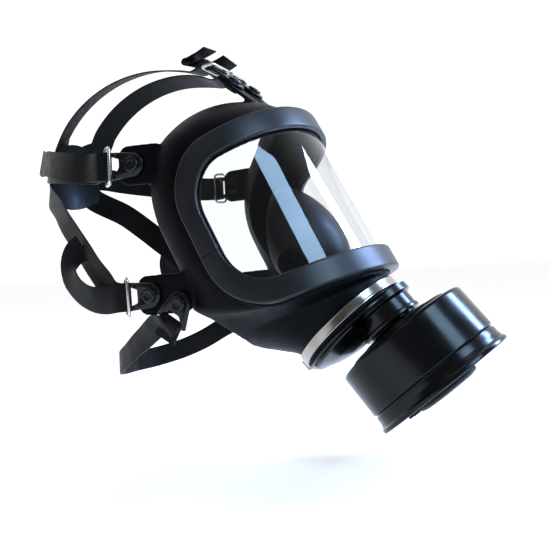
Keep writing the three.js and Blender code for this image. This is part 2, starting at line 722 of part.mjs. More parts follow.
const gasket = ringSolid(PASSAGE_R + 0.8, THREAD_R, SOCKET_FLOOR + GAP, SOCKET_FLOOR + 1.7, 24);
add('connector_gasket', gasket.applyMatrix4(filterPlace), valveMat);

// ---------------------------------------------------------------- filter canister

const NECK_END = SOCKET_FLOOR + 2;
const BODY_STEP = 35.5;          // the body narrows here and the lid's skirt covers it
const BODY_END = 45.6;
const SKIRT_R = 51.9;
const NECK_BORE_R = 16.5;

const bodyProfile = [
  [NECK_BORE_R, NECK_END], [THREAD_R, NECK_END], [THREAD_R, -5], [29, -5], [30, -2.6],
  [42, -2.6], [43, 0], [50.5, 0], [52.8, 0.8], [CANISTER_R, 2.6], [CANISTER_R, BODY_STEP - 1],
  [SKIRT_R, BODY_STEP], [SKIRT_R, BODY_END], [SKIRT_R - CANISTER_WALL, BODY_END],
  [SKIRT_R - CANISTER_WALL, 3], [50, CANISTER_WALL], [31, CANISTER_WALL - 1.5],
  [28, -3.4], [NECK_BORE_R, -3.4], [NECK_BORE_R, NECK_END],
];
add('canister_body', lathe(bodyProfile, 36).applyMatrix4(filterPlace), canisterMat);

const INTAKE_R = 20;
const lidProfile = [
  [INTAKE_R, 46.6], [49, 46.6], [SKIRT_R + GAP, 45.9], [SKIRT_R + GAP, BODY_STEP + 1],
  [SKIRT_R + 1.1, BODY_STEP + 1], [SKIRT_R + 1.2, 41], [53.8, 44.5], [FLANGE_R, 45.8],
  [FLANGE_R, 48], [FLANGE_R - 0.8, CANISTER_LEN], [52.6, CANISTER_LEN], [51, 47.9],
  [34, 47.9], [31, 49.2], [INTAKE_R, 49.2], [INTAKE_R, 46.6],
];
add('canister_lid', lathe(lidProfile, 36).applyMatrix4(filterPlace), canisterMat);

const plugProfile = [
  [0, 44], [INTAKE_R - GAP, 44], [INTAKE_R - GAP, 49.6], [25, 49.6], [25.4, 50.4], [24.4, 52.2],
  [20, 53.4], [0, 54],
];
const PULL = { x: 0, y: -24, width: 12, length: 14, thick: 1.8 };
function plugGeometry() {
  const pull = plate(roundedRect(PULL.width, PULL.length, 4, PULL.x, PULL.y - 4), PULL.thick, 4);
  pull.translate(0, 0, 49.6);
  return geometryOf(solid(lathe(plugProfile, 28)).add(solid(tidy(pull))));
}
add('canister_plug', plugGeometry().applyMatrix4(filterPlace), rubberMat);

// layers inside: [name, radius, low, high, material]
const LAYERS = [
  ['outlet_screen', 49.6, 3.4, 4.4, steelMat],
  ['charcoal_bed', 49.8, 4.8, 26.4, carbonMat],
  ['inlet_screen', 49.8, 26.8, 27.8, steelMat],
  ['particle_filter', 49.8, 28.2, 43.2, filterMat],
];
for (const [name, radius, low, high, mat] of LAYERS) {
  add(name, disc(radius, low, high, 28).applyMatrix4(filterPlace), mat);
}

// ---------------------------------------------------------------- studs, links and buckles

const LINK_LOW = 0.4;
const LINK_HIGH = 2.8;
const studProfile = [
  [0, -5.2], [6.6, -5.2], [STUD_HEAD_R, -4.6], [STUD_HEAD_R, -RUBBER - GAP], [STUD_R, -RUBBER - GAP],
  [STUD_R, LINK_HIGH + GAP], [6, LINK_HIGH + GAP], [6, 4.6], [5, 5.3], [0, 5.3],
];

// flat link: a round eye on the stud and two arms to an end bar
function linkGeometry(reach, halfWidth, slot) {
  const EYE_R = 9.5;
  const outline = new THREE.Shape();
  const arm = Math.asin(Math.min(1, EYE_R / (reach + 4)));
  outline.moveTo(reach + 1.4, -halfWidth + 1.5);
  outline.absarc(reach - 0.1, halfWidth - 1.5, 1.5, 0, Math.PI / 2);
  outline.absarc(0, 0, EYE_R, Math.PI / 2 + arm / 2, Math.PI * 1.5 - arm / 2);
  outline.absarc(reach - 0.1, -halfWidth + 1.5, 1.5, -Math.PI / 2, 0);
  const EYE_SIDES = 12;
  const eyeR = (STUD_R + GAP) / Math.cos(Math.PI / EYE_SIDES);
  const eye = new THREE.Path(Array.from({ length: EYE_SIDES }, (_, i) => {
    const q = -2 * Math.PI * i / EYE_SIDES;
    return new THREE.Vector2(eyeR * Math.cos(q), eyeR * Math.sin(q));
  }));
  const gap = new THREE.Path();
  gap.moveTo(slot.from, -slot.near);
  gap.lineTo(slot.from, slot.near);
  gap.lineTo(slot.to, slot.far);
  gap.lineTo(slot.to, -slot.far);
  outline.holes.push(eye, gap);
  return plate(outline, LINK_HIGH - LINK_LOW, 3).translate(0, 0, LINK_LOW);
}

// rectangular ring of wire whose middle is the link's end bar, turned so that one long side
// lies outside the strap and the other inside it
const BUCKLE_TURN = rad(45);
function buckleGeometry() {
  const half = BUCKLE_LEN / 2 - WIRE / 2;
  const across = BUCKLE_WIDTH / 2 - WIRE / 2;
  const corner = 3;
  const path = [];
  for (const [cx, cy, start] of [[half, across, 0], [-half, across, 90], [-half, -across, 180],
    [half, -across, 270]]) {
    for (let i = 0; i <= 2; i += 1) {
      const q = rad(start + 45 * i);
      path.push(v3(cy - Math.sign(cy) * corner + corner * Math.sin(q),
        cx - Math.sign(cx) * corner + corner * Math.cos(q), 0));
    }
  }
  const rings = path.map((p, i) => {
    const next = path[(i + 1) % path.length];
    const before = path[(i + path.length - 1) % path.length];
    const side = next.clone().sub(before).normalize().cross(v3(0, 0, 1));
    return Array.from({ length: 6 }, (_, k) => {
      const q = Math.PI * 2 * (k + 0.5) / 6;
      return p.clone().addScaledVector(side, WIRE / 2 * Math.cos(q)).setZ(WIRE / 2 * Math.sin(q));
    });
  });
  const ring = sweep(rings, true);
  return ring.rotateY(BUCKLE_TURN).translate(LINK_REACH, 0, (LINK_LOW + LINK_HIGH) / 2);
}

const SLOT = { from: 10.6, to: LINK_REACH - 1.5, near: 5, far: 8 };
for (const [tab, spec] of Object.entries(TABS)) {
  for (const [side, sign] of SIDES) {
    const frame = studFrame(spec, sign);
    add(`${tab}_stud_${side}`, lathe(studProfile, 12).applyMatrix4(frame), plasticMat);
    add(`${tab}_link_${side}`, linkGeometry(LINK_REACH, 11, SLOT).applyMatrix4(frame), plasticMat);
    add(`${tab}_buckle_${side}`, buckleGeometry().applyMatrix4(frame), nickelMat);
  }
}

const NECK_REACH = 14;
const NECK_SLOT = { from: 7.6, to: NECK_REACH - 1.4, near: 4.6, far: 9.4 };
for (const [side, sign] of SIDES) {
  const frame = studFrame(NECK, sign);
  add(`neck_stud_${side}`, lathe(studProfile, 12).applyMatrix4(frame), plasticMat);
  add(`neck_link_${side}`, linkGeometry(NECK_REACH, 13.5, NECK_SLOT).applyMatrix4(frame), plasticMat);
}

// ---------------------------------------------------------------- straps and head pad

// height of the head at (x, y), raised by lift
function crown(x, y, lift) {
  const k = 1 - (x / HEAD_X) ** 2 - ((y - HEAD_CY) / HEAD_Y) ** 2;
  return v3(x, y, HEAD_CZ + HEAD_Z * Math.sqrt(k) + lift);
}

// point on the side or back of the head: turn is 0 at the wearer's right and 90 at the back
function roundHead(turn, z, lift) {
  const k = Math.sqrt(1 - ((z - HEAD_CZ) / HEAD_Z) ** 2);
  const q = rad(turn);
  return v3(-(HEAD_X * k + lift) * Math.cos(q), HEAD_CY + (HEAD_Y * k + lift) * Math.sin(q), z);
}

// a flat strap along points; face(p) is the direction that its face looks
function strap(points, face, width = STRAP_WIDTH) {
  const rings = points.map((p, i) => {
    const next = points[Math.min(i + 1, points.length - 1)];
    const before = points[Math.max(i - 1, 0)];
    const along = next.clone().sub(before).normalize();
    const across = face(p).clone().cross(along).normalize();
    const normal = along.clone().cross(across);
    return [[-1, -1], [1, -1], [1, 1], [-1, 1]].map(([a, b]) => p.clone()
      .addScaledVector(across, a * width / 2).addScaledVector(normal, b * STRAP_THICK / 2));
  });
  return sweep(rings, false, fanCap);
}

const fromHead = (p) => v3(p.x / HEAD_X ** 2, (p.y - HEAD_CY) / HEAD_Y ** 2, (p.z - HEAD_CZ) / HEAD_Z ** 2);

function mirrorX(geometry) {
  return tidy(geometry.clone().scale(-1, 1, 1));
}

function steps(from, to, count) {
  return Array.from({ length: count + 1 }, (_, i) => from + (to - from) * i / count);
}

// each strap is two layers, joined at the front where it folds back
function twoLayers(inner, outer, face) {
  const web = solid(strap(inner, face)).add(solid(strap(outer, face)));
  return web.add(solidBetween(inner, outer, face));
}

// the block that joins the first ends of two layers
function solidBetween(inner, outer, face) {
  const a = inner[0];
  const b = outer[0];
  const middle = a.clone().lerp(b, 0.5);
  const along = inner[1].clone().sub(a).normalize();
  const across = face(a).clone().cross(along).normalize();
  const normal = along.clone().cross(across);
  const tall = a.distanceTo(b) + STRAP_THICK * 0.5;
  const box = new THREE.BoxGeometry(FOLD_LENGTH, STRAP_WIDTH, tall).translate(FOLD_LENGTH / 2, 0, 0);
  const m = new THREE.Matrix4().makeBasis(along, across, normal).setPosition(middle);
  return solid(tidy(box.applyMatrix4(m)));
}

const templeInner = steps(2.4, 60, 9).map((turn) => roundHead(turn, 63 + (turn - 2.4) * 0.28, 2.4));
const templeOuter = steps(2.4, 48, 7).map((turn) => roundHead(turn, 63.5 + (turn - 2.4) * 0.42, 7.2));
const topInner = [35, 46, 60, 76, 92, 110, 128, 146, 162, 176]
  .map((y) => crown(-17 - (y - 35) * 0.05, y, y < 40 ? 5.5 : 2.6));
const topOuter = [35, 42, 50].map((y) => crown(-17, y, 10));
const lowerInner = [
  [-78.4, 90.5, -30.5], [-75.6, 100, -22.6], [-71, 112, -13], [-66, 126, 0], [-60, 142, 14], [-54, 158, 28],
  [-46, 173, 41], [-37, 184, 52],
].map((p) => v3(...p));
const lowerOuter = [
  [-80.6, 88.5, -35.5], [-79.6, 98, -36], [-77, 110, -33], [-74, 123, -24], [-72, 131, -13],
].map((p) => v3(...p));
const sideways = () => v3(-1, 0, 0);

const STRAPS = {
  top_strap: twoLayers(topInner, topOuter, fromHead),
  temple_strap: twoLayers(templeInner, templeOuter, fromHead),
  lower_strap: twoLayers(lowerInner, lowerOuter, (p) => (p.y < 90 ? sideways() : fromHead(p))),
};
for (const [name, web] of Object.entries(STRAPS)) {
  const right = geometryOf(web);
  add(`${name}_right`, right, webMat);
  add(`${name}_left`, mirrorX(right), webMat);
}

// head pad at the back of the head, which all six straps join
const PAD = { low: 46, high: 108, turn: 66, lift: 2.6 };
function padGeometry() {
  const COLUMNS = 8;
  const turns = steps(PAD.turn, 180 - PAD.turn, COLUMNS);
  const heights = steps(PAD.low, PAD.high, 5);
  const rings = turns.map((turn, i) => {
    const taper = 1 - 0.32 * Math.abs(2 * i / COLUMNS - 1) ** 2;
    const mid = (PAD.low + PAD.high) / 2;
    const column = (lift) => heights.map((z) => roundHead(turn, mid + (z - mid) * taper, lift));
    return [...column(PAD.lift + STRAP_THICK / 2), ...column(PAD.lift - STRAP_THICK / 2).reverse()];
  });
  return sweep(rings, false, sheetCap);
}
add('head_pad', padGeometry(), webMat);

// neck strap: a loop behind the neck, which carries the mask when it is off the face
const neckHalf = [
  [-79, 37.5, -62.4], [-75, 48, -64], [-70, 62, -68], [-65, 76, -75], [-58, 91, -84],
  [-47, 108, -92], [-26, 122, -97], [0, 127, -98],
].map((p) => v3(...p));
const neckPoints = [...neckHalf, ...neckHalf.slice(0, -1).reverse().map((p) => v3(-p.x, p.y, p.z))];
const NECK_WIDTH = 20;
add('neck_strap', strap(neckPoints, (p) => v3(p.x, (p.y - 50) * 0.9, 0).normalize(), NECK_WIDTH), webMat);

export default respirator;
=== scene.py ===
"""Full face respirator with one filter canister: the visible model, built round its CAD frame.

Every length is in millimetres in the shapes below and is scaled to metres where a mesh is made.
The frame has +Z up, the visor facing -Y and +X at the wearer's left.
"""
import math

import bmesh
import bpy
import numpy as np
from mathutils import Matrix, Vector


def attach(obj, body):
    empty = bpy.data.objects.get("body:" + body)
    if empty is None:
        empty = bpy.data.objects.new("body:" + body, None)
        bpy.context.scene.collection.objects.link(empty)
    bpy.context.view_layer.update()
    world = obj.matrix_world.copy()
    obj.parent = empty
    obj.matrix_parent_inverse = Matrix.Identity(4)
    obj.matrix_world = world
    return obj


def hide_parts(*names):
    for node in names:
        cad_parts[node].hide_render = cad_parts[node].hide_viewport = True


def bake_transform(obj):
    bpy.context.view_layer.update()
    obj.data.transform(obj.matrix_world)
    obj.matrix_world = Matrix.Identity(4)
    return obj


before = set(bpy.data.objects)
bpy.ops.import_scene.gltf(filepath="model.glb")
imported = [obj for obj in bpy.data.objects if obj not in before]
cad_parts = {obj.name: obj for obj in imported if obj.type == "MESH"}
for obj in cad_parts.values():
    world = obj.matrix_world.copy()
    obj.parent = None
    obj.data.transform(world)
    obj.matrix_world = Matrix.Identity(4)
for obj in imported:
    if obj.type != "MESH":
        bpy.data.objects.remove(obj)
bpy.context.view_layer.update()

MM = 0.001
SIDES = (("right", -1), ("left", 1))
TABS = ("top", "temple", "lower")
MASK = "mask"

# ---------------------------------------------------------------- dimensions shared with the CAD

LENS_AX, LENS_AY, LENS_TILT, LENS_THICK = 89, 86, math.radians(27.2), 2.5
RIM_PROUD, RIM_HALF_LEN, RIM_HALF_HT = 6.3, 148.5, 60
RIM_CORNER, RIM_WIDTH, RIM_BOW, RIM_WALL = 40, 15.2, 10.8, 3.2
LENS_INSET, SPLIT_T, SPLIT_GAP = 3.6, -13, 0.4
PLATE_LOW, WALL_LOW = 1.7, -2.6
RUBBER, FLANGE_TOP, FLANGE_LOW, FLANGE_INSET = 3, -1.65, -4.8, -1.6
CLAMP_R, CLAMP_WIDTH, CLAMP_THICK, CLAMP_GAP = 46.6, 8, 1.2, 9.6
CONNECTOR_R, CONNECTOR_END, SOCKET_R, SOCKET_FLOOR = 23.5, -8, 20.1, -22.6
STRAP_WIDTH, LINK_REACH, NECK_REACH, LINK_LOW, LINK_HIGH = 22, 21, 14, 0.4, 2.8
HEAD = np.array([77.5, 110.8, 90.0])
HEAD_CENTRE = np.array([0.0, 91.5, 66.0])


def unit(v):
    return v / np.linalg.norm(v)


def turned(angle):
    c, s = math.cos(angle), math.sin(angle)
    return [[c, -s], [s, c]]


def port_matrix(y, z, tilt):
    """Frame whose +Z leaves the mask and whose +Y points up and forward."""
    matrix = np.eye(4)
    matrix[1:3, 1:3] = turned(math.pi / 2 + math.radians(tilt))
    matrix[1:3, 3] = [y, z]
    return matrix


PORT = port_matrix(-77.5, -63.5, 47.5)
FILTER = port_matrix(-115.9, -71.3, 51)


def frame_from(x, z, at):
    """Frame at a point, from the unit directions of its X and Z."""
    matrix = np.eye(4)
    matrix[:3, :3] = np.column_stack([x, np.cross(z, x), z])
    matrix[:3, 3] = at
    return matrix


def frame_at(at, along, out, sign):
    """Frame at a stud: X along the strap and Z outward. The given vectors are the right side's."""
    flip = np.array([-sign, 1.0, 1.0])
    z = unit(np.array(out) * flip)
    x = np.array(along) * flip
    return frame_from(unit(x - z * x.dot(z)), z, np.array(at) * flip)


TAB_PLACE = {
    "top": ([-17, 7, 131.5], [0, 0.77, 0.64], [0, -0.64, 0.77]),
    "temple": ([-80, 62, 63.5], [-0.17, 0.985, 0], [-0.985, -0.17, 0]),
    "lower": ([-79, 50, -36], [-0.02, 1, -0.05], [-1, -0.02, 0]),
    "neck": ([-79.5, 24, -43], [0, 0.5, -0.86], [-1, -0.02, 0]),
}
TAB_SIZE = {"top": (30, 25), "temple": (26, 31), "lower": (36, 30)}     # root length, width
TAB_END = 12.5


def stud_frame(tab, sign):
    return frame_at(*TAB_PLACE[tab], sign)


# ---------------------------------------------------------------- shape helpers

WELD = 0.002


def moved(points, matrix):
    points = np.asarray(points, float)
    return points @ matrix[:3, :3].T + matrix[:3, 3]


def new_piece(name, vertices, faces, angle=35):
    """A mesh object from points in millimetres, smooth but for edges sharper than angle."""
    mesh = bpy.data.meshes.new(name)
    mesh.from_pydata((np.asarray(vertices, float) * MM).tolist(), [], [list(f) for f in faces])
    work = bmesh.new()
    work.from_mesh(mesh)
    bmesh.ops.recalc_face_normals(work, faces=work.faces)
    work.to_mesh(mesh)
    work.free()
    piece = bpy.data.objects.new(name, mesh)
    bpy.context.scene.collection.objects.link(piece)
    smooth(piece, angle)
    return piece


def smooth(piece, angle=35):
    piece.data.shade_smooth()
    piece.data.set_sharp_from_angle(angle=math.radians(angle))


def sweep(rings, closed_along, closed_round=True, capped=True):
    """Vertices and faces of rings of points, each joined to the next."""
    rings = [np.asarray(r, float) for r in rings]
    n = len(rings[0])
    faces = []
    for i in range(len(rings) if closed_along else len(rings) - 1):
        a, b = i * n, (i + 1) % len(rings) * n
        for j in range(n if closed_round else n - 1):
            k = (j + 1) % n
            faces.append((a + j, a + k, b + k, b + j))
    if capped and not closed_along:
        last = (len(rings) - 1) * n
        faces.append(tuple(range(n))[::-1])
        faces.append(tuple(last + j for j in range(n)))
    return np.vstack(rings), faces


def rounded(points, radius, closed=True, steps=4):
    """A section with its corners rounded off, never by more than 0.45 of a side."""
    points = [np.asarray(p, float) for p in points]
    out = []
    for i, p in enumerate(points):
        if not closed and i in (0, len(points) - 1):
            out.append(p)
            continue
        before, after = points[i - 1], points[(i + 1) % len(points)]
        ends = []
        for q in (before, after):
            length = np.linalg.norm(q - p)
            ends.append(p + (q - p) / length * min(radius, 0.45 * length))
        for t in np.linspace(0, 1, steps + 1):
            out.append(ends[0] * (1 - t) ** 2 + 2 * p * t * (1 - t) + ends[1] * t ** 2)
    return out


def lathe(name, profile, matrix, radius=0.5, closed=False, segments=128):
    """A turned piece. An open profile starts and ends on the axis."""
    section = rounded(profile, radius, closed)
    angles = np.arange(segments) * 2 * math.pi / segments
    rings = [[(r * math.cos(a), r * math.sin(a), z) for r, z in section] for a in angles]
    vertices, faces = sweep(rings, True, closed_round=closed)
    piece = new_piece(name, moved(vertices, matrix), faces)
    weld(piece)
    return piece


def weld(piece):
    work = bmesh.new()
    work.from_mesh(piece.data)
    bmesh.ops.remove_doubles(work, verts=work.verts, dist=WELD * MM)
    work.to_mesh(piece.data)
    work.free()
    smooth(piece)


def box_piece(name, size, centre, matrix, radius=0.6):
    """A block with rounded edges."""
    half = np.array(size) / 2
    corners = [[sx * half[0], sy * half[1]] for sx, sy in ((-1, -1), (1, -1), (1, 1), (-1, 1))]
    outline = np.array(rounded(corners, radius, True, 4))
    rings = []
    for z, inset in ((-half[2], radius * 0.5), (-half[2] + radius * 0.5, 0),
                     (half[2] - radius * 0.5, 0), (half[2], radius * 0.5)):
        scale = (half[:2] - inset) / half[:2]
        rings.append([(x * scale[0], y * scale[1], z) for x, y in outline])
    vertices, faces = sweep(rings, False)
    return new_piece(name, moved(vertices + np.array(centre), matrix), faces)


def cut(piece, *tools, operation="DIFFERENCE"):
    """Cuts or joins with other pieces, which are then removed."""
    for tool in tools:
        modifier = piece.modifiers.new("cut", "BOOLEAN")
        modifier.operation = operation
        modifier.solver = "MANIFOLD"
        modifier.object = tool
        apply_modifiers(piece)
        bpy.data.objects.remove(tool)
    smooth(piece)
    return piece


def apply_modifiers(piece):
    depsgraph = bpy.context.evaluated_depsgraph_get()
    mesh = bpy.data.meshes.new_from_object(piece.evaluated_get(depsgraph))
    piece.modifiers.clear()
    old = piece.data
    piece.data = mesh
    bpy.data.meshes.remove(old)


def bevelled(piece, width, segments=3, angle=40):
    modifier = piece.modifiers.new("edges", "BEVEL")
    modifier.width = width * MM
    modifier.segments = segments
    modifier.limit_method = "ANGLE"
    modifier.angle_limit = math.radians(angle)
    modifier.harden_normals = False
    apply_modifiers(piece)
    smooth(piece, 50)
    return piece


def flat_shading(piece):
    """Keeps large faces looking flat beside their rounded edges."""
    modifier = piece.modifiers.new("normals", "WEIGHTED_NORMAL")
    modifier.keep_sharp = True
    modifier.weight = 80
    return piece


def finish_piece(piece, body, material, slot, *nodes):
    piece.data.materials.clear()
    piece.data.materials.append(material)
    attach(piece, body)
    if nodes:
        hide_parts(*nodes)
    return piece


def spline(points, spacing=None, count=None):
    """Evenly spaced points on a smooth curve through the given points."""
    points = np.asarray(points, float)
    ends = [2 * points[0] - points[1], *points, 2 * points[-1] - points[-2]]
    fine = []
    for i in range(1, len(ends) - 2):
        p0, p1, p2, p3 = ends[i - 1:i + 3]
        d = [max(np.linalg.norm(b - a), 1e-6) ** 0.5 for a, b in ((p0, p1), (p1, p2), (p2, p3))]
        t0, t1, t2, t3 = 0, d[0], d[0] + d[1], sum(d)
        for t in np.linspace(t1, t2, 24, endpoint=False):
            a1 = (t1 - t) / (t1 - t0) * p0 + (t - t0) / (t1 - t0) * p1
            a2 = (t2 - t) / (t2 - t1) * p1 + (t - t1) / (t2 - t1) * p2
            a3 = (t3 - t) / (t3 - t2) * p2 + (t - t2) / (t3 - t2) * p3
            b1 = (t2 - t) / (t2 - t0) * a1 + (t - t0) / (t2 - t0) * a2
            b2 = (t3 - t) / (t3 - t1) * a2 + (t - t1) / (t3 - t1) * a3
            fine.append((t2 - t) / (t2 - t1) * b1 + (t - t1) / (t2 - t1) * b2)
    fine.append(points[-1])
    return resample(np.array(fine), spacing, count)


def resample(line, spacing=None, count=None):
    """count steps, or steps of about spacing, along a line of points."""
    run = np.concatenate([[0], np.cumsum(np.linalg.norm(np.diff(line, axis=0), axis=1))])
    steps = count or max(2, round(run[-1] / spacing))
    at = np.linspace(0, run[-1], steps + 1)
    return np.column_stack([np.interp(at, run, line[:, k]) for k in range(line.shape[1])])


# ---------------------------------------------------------------- materials

class Shader:
    """A Principled material and the node links that its look needs."""

    def __init__(self, name):
        self.material = bpy.data.materials.new(name)
        self.material.use_nodes = True
        self.nodes = self.material.node_tree.nodes
        self.links = self.material.node_tree.links
        self.surface = self.nodes["Principled BSDF"]
        self.place = self.nodes.new("ShaderNodeTexCoord")
        self.height = None

    def noise(self, scale, detail=4, distortion=0.0):
        node = self.nodes.new("ShaderNodeTexNoise")
        node.inputs["Scale"].default_value = scale
        node.inputs["Detail"].default_value = detail
        node.inputs["Distortion"].default_value = distortion
        self.links.new(self.place.outputs["Object"], node.inputs["Vector"])
        return node.outputs["Fac"]

    def ramp(self, value, low, high, start=0.3, end=0.7):
        node = self.nodes.new("ShaderNodeValToRGB")
        node.color_ramp.elements[0].position = start
        node.color_ramp.elements[1].position = end
        node.color_ramp.elements[0].color = (*low, 1)
        node.color_ramp.elements[1].color = (*high, 1)
        self.links.new(value, node.inputs["Fac"])
        return node.outputs["Color"]

    def spread(self, value, low, high, start=0.25, end=0.75):
        node = self.nodes.new("ShaderNodeMapRange")
        node.inputs["From Min"].default_value = start
        node.inputs["From Max"].default_value = end
        node.inputs["To Min"].default_value = low
        node.inputs["To Max"].default_value = high
        self.links.new(value, node.inputs["Value"])
        return node.outputs["Result"]

    def maths(self, operation, a, b=None):
        node = self.nodes.new("ShaderNodeMath")
        node.operation = operation
        for socket, value in zip(node.inputs, (a, b)):
            if value is None:
                continue
            if isinstance(value, (int, float)):
                socket.default_value = value
            else:
                self.links.new(value, socket)
        return node.outputs[0]

    def bump(self, value, depth_mm, strength=1.0):
        node = self.nodes.new("ShaderNodeBump")
        node.inputs["Distance"].default_value = depth_mm * MM
        node.inputs["Strength"].default_value = strength
        self.links.new(value, node.inputs["Height"])
        if self.height:
            self.links.new(self.height, node.inputs["Normal"])
        self.height = node.outputs["Normal"]
        self.links.new(self.height, self.surface.inputs["Normal"])

    def set(self, name, value):
        if isinstance(value, (int, float, tuple)):
            self.surface.inputs[name].default_value = value
        else:
            self.links.new(value, self.surface.inputs[name])


def moulded(name, dark, light, rough, grain_mm=0.02, grain_scale=1800, broad=14, metal=0.0,
            specular=0.5):
    """Plastic, rubber or metal with slow colour and gloss changes and a fine surface grain."""
    shader = Shader(name)
    slow = shader.noise(broad, 5, 0.4)
    shader.set("Base Color", shader.ramp(slow, dark, light))
    shader.set("Roughness", shader.spread(shader.noise(broad * 5, 6), *rough))
    shader.set("Metallic", metal)
    shader.set("Specular IOR Level", specular)
    shader.bump(shader.noise(grain_scale, 3), grain_mm)
    shader.bump(shader.noise(90, 3), grain_mm * 6, 0.5)
    return shader


rubber = moulded("face_rubber", (0.0010, 0.0013, 0.0020), (0.0026, 0.0031, 0.0044), (0.36, 0.52),
                 0.03, 1500, specular=0.06)
soft_rubber = moulded("soft_rubber", (0.004, 0.0042, 0.0046), (0.008, 0.0083, 0.0088), (0.38, 0.55),
                      specular=0.22)
rim = moulded("visor_frame", (0.0045, 0.0047, 0.0050), (0.0085, 0.0088, 0.0093), (0.32, 0.42),
              0.02, 1300, specular=0.36)
plastic = moulded("satin_plastic", (0.0018, 0.0020, 0.0024), (0.0042, 0.0045, 0.0052), (0.18, 0.28),
                  0.008, specular=0.30)
canister = moulded("canister_plastic", (0.0012, 0.0013, 0.0015), (0.0032, 0.0034, 0.0038),
                   (0.16, 0.24), 0.006, 900, specular=0.24)
nickel = moulded("nickel", (0.62, 0.6, 0.55), (0.8, 0.78, 0.74), (0.12, 0.26), 0.006, metal=1.0)
charcoal = moulded("charcoal", (0.01, 0.01, 0.01), (0.05, 0.05, 0.05), (0.8, 0.95), 0.5, 700)
fibre = moulded("fibre", (0.6, 0.59, 0.55), (0.75, 0.74, 0.7), (0.8, 0.95), 0.3, 500)


def brushed_steel():
    """Rolled stainless band: warm grey, with slow changes of tone along it."""
    shader = Shader("steel_band")
    slow = shader.noise(24, 2)
    shader.set("Base Color", shader.ramp(slow, (0.22, 0.19, 0.15), (0.46, 0.43, 0.38)))
    shader.set("Roughness", shader.spread(shader.noise(55, 3), 0.16, 0.26))
    shader.set("Metallic", 1.0)
    shader.bump(shader.noise(30, 2), 0.05, 0.4)
    return shader


POLYCARBONATE_IOR = 1.58


def clear_lens():
    """Clear polycarbonate sheet: see-through face on, reflecting at a slant, faintly marked.

    Light passes straight through, so only the faces that it enters by reflect.
    """
    shader = Shader("clear_lens")
    nodes, links = shader.nodes, shader.links
    through = nodes.new("ShaderNodeBsdfTransparent")
    through.inputs["Color"].default_value = (0.955, 0.96, 0.962, 1)
    gloss = nodes.new("ShaderNodeBsdfGlossy")
    gloss.inputs["Color"].default_value = (0.93, 0.96, 1.0, 1)
    links.new(shader.spread(shader.noise(22, 4), 0.015, 0.05), gloss.inputs["Roughness"])
    fresnel = nodes.new("ShaderNodeFresnel")
    fresnel.inputs["IOR"].default_value = POLYCARBONATE_IOR
    smear = shader.spread(shader.noise(16, 6, 1.2), 0.9, 1.15)
    facing = nodes.new("ShaderNodeNewGeometry")
    entering = shader.maths("SUBTRACT", 1.0, facing.outputs["Backfacing"])
    share = shader.maths("MULTIPLY", fresnel.outputs["Fac"], smear)
    share = shader.maths("MULTIPLY", share, entering)
    mix = nodes.new("ShaderNodeMixShader")
    links.new(share, mix.inputs["Fac"])
    links.new(through.outputs["BSDF"], mix.inputs[1])
    links.new(gloss.outputs["BSDF"], mix.inputs[2])
    links.new(mix.outputs["Shader"], nodes["Material Output"].inputs["Surface"])
    return shader


RIB_PITCH, CORD_PITCH = 1.7, 1.3


def webbing():
    """Elastic webbing: cross ribs and lengthwise cords, from the strap's own coordinates in mm."""
    shader = Shader("webbing")
    split = shader.nodes.new("ShaderNodeSeparateXYZ")
    shader.links.new(shader.place.outputs["UV"], split.inputs[0])
    across, along = split.outputs[0], split.outputs[1]
    rib = shader.maths("SINE", shader.maths("MULTIPLY", along, 2 * math.pi / RIB_PITCH))
    cord = shader.maths("SINE", shader.maths("MULTIPLY", across, 2 * math.pi / CORD_PITCH))
    weave = shader.maths("ADD", rib, shader.maths("MULTIPLY", cord, 0.45))
    lift = shader.spread(weave, 0.0, 1.0, -1.2, 1.2)
    # the colour is random tone plus painted shade: darker in the weave's grooves and lighter on its
    # ribs, following the bump height
    colour = shader.maths("ADD", shader.maths("MULTIPLY", lift, 0.35), shader.noise(60, 4))
    dark, light = (0.0012, 0.0013, 0.0017), (0.0050, 0.0053, 0.0062)
    shader.set("Base Color", shader.ramp(colour, dark, light, 0.3, 1.2))
    shader.set("Roughness", shader.spread(shader.noise(120, 5), 0.34, 0.5))
    shader.set("Specular IOR Level", 0.12)
    shader.bump(lift, 0.03)
    shader.bump(shader.noise(2600, 2), 0.02)
    return shader


steel = brushed_steel()
glass = clear_lens()
web = webbing()
thread_black = moulded("thread", (0.010, 0.0105, 0.012), (0.022, 0.0225, 0.025), (0.5, 0.65),
                       0.05, 2500)


# ---------------------------------------------------------------- visor


def visor_point(s, t, rho):
    """s runs round the visor's cylinder, t up it, and rho is the height above the lens."""
    s, t, rho = np.broadcast_arrays(s, t, rho)
    theta = s / ((LENS_AX + LENS_AY) / 2 + RIM_PROUD)
    y = -(LENS_AY + rho) * np.cos(theta)
    c, d = math.cos(LENS_TILT), math.sin(LENS_TILT)
    return np.stack([(LENS_AX + rho) * np.sin(theta), y * c + t * d, t * c - y * d], axis=-1)


def bow(s):
    return RIM_BOW * (1 - (s / RIM_HALF_LEN) ** 2)


def rim_outline(inset, top=70, corner=20, end=10):
    """Closed outline of (s, t), from the top middle round the wearer's right and back."""
    a, b = RIM_HALF_LEN - inset, RIM_HALF_HT - inset
    r = max(RIM_CORNER - inset * 0.6, 4)
    half = [(-(a - r) * i / top, b) for i in range(top)]
    for i in range(corner):
        q = math.pi / 2 * i / corner
        half.append((-(a - r) - r * math.sin(q), b - r + r * math.cos(q)))
    half += [(-a, (b - r) * (1 - i / end)) for i in range(end)]
    half.append((-a, 0))
    right = half + [(s, -t) for s, t in half[:-1][::-1]]
    line = np.array(right + [(-s, t) for s, t in right[1:-1][::-1]])
    line[:, 1] += bow(line[:, 0]) * line[:, 1] / RIM_HALF_HT
    return line


def rim_band(section, **detail):
    lines = [rim_outline(inset, **detail) for inset, _ in section]
    return np.stack([visor_point(line[:, 0], line[:, 1], rho)
                     for line, (_, rho) in zip(lines, section)], axis=1)


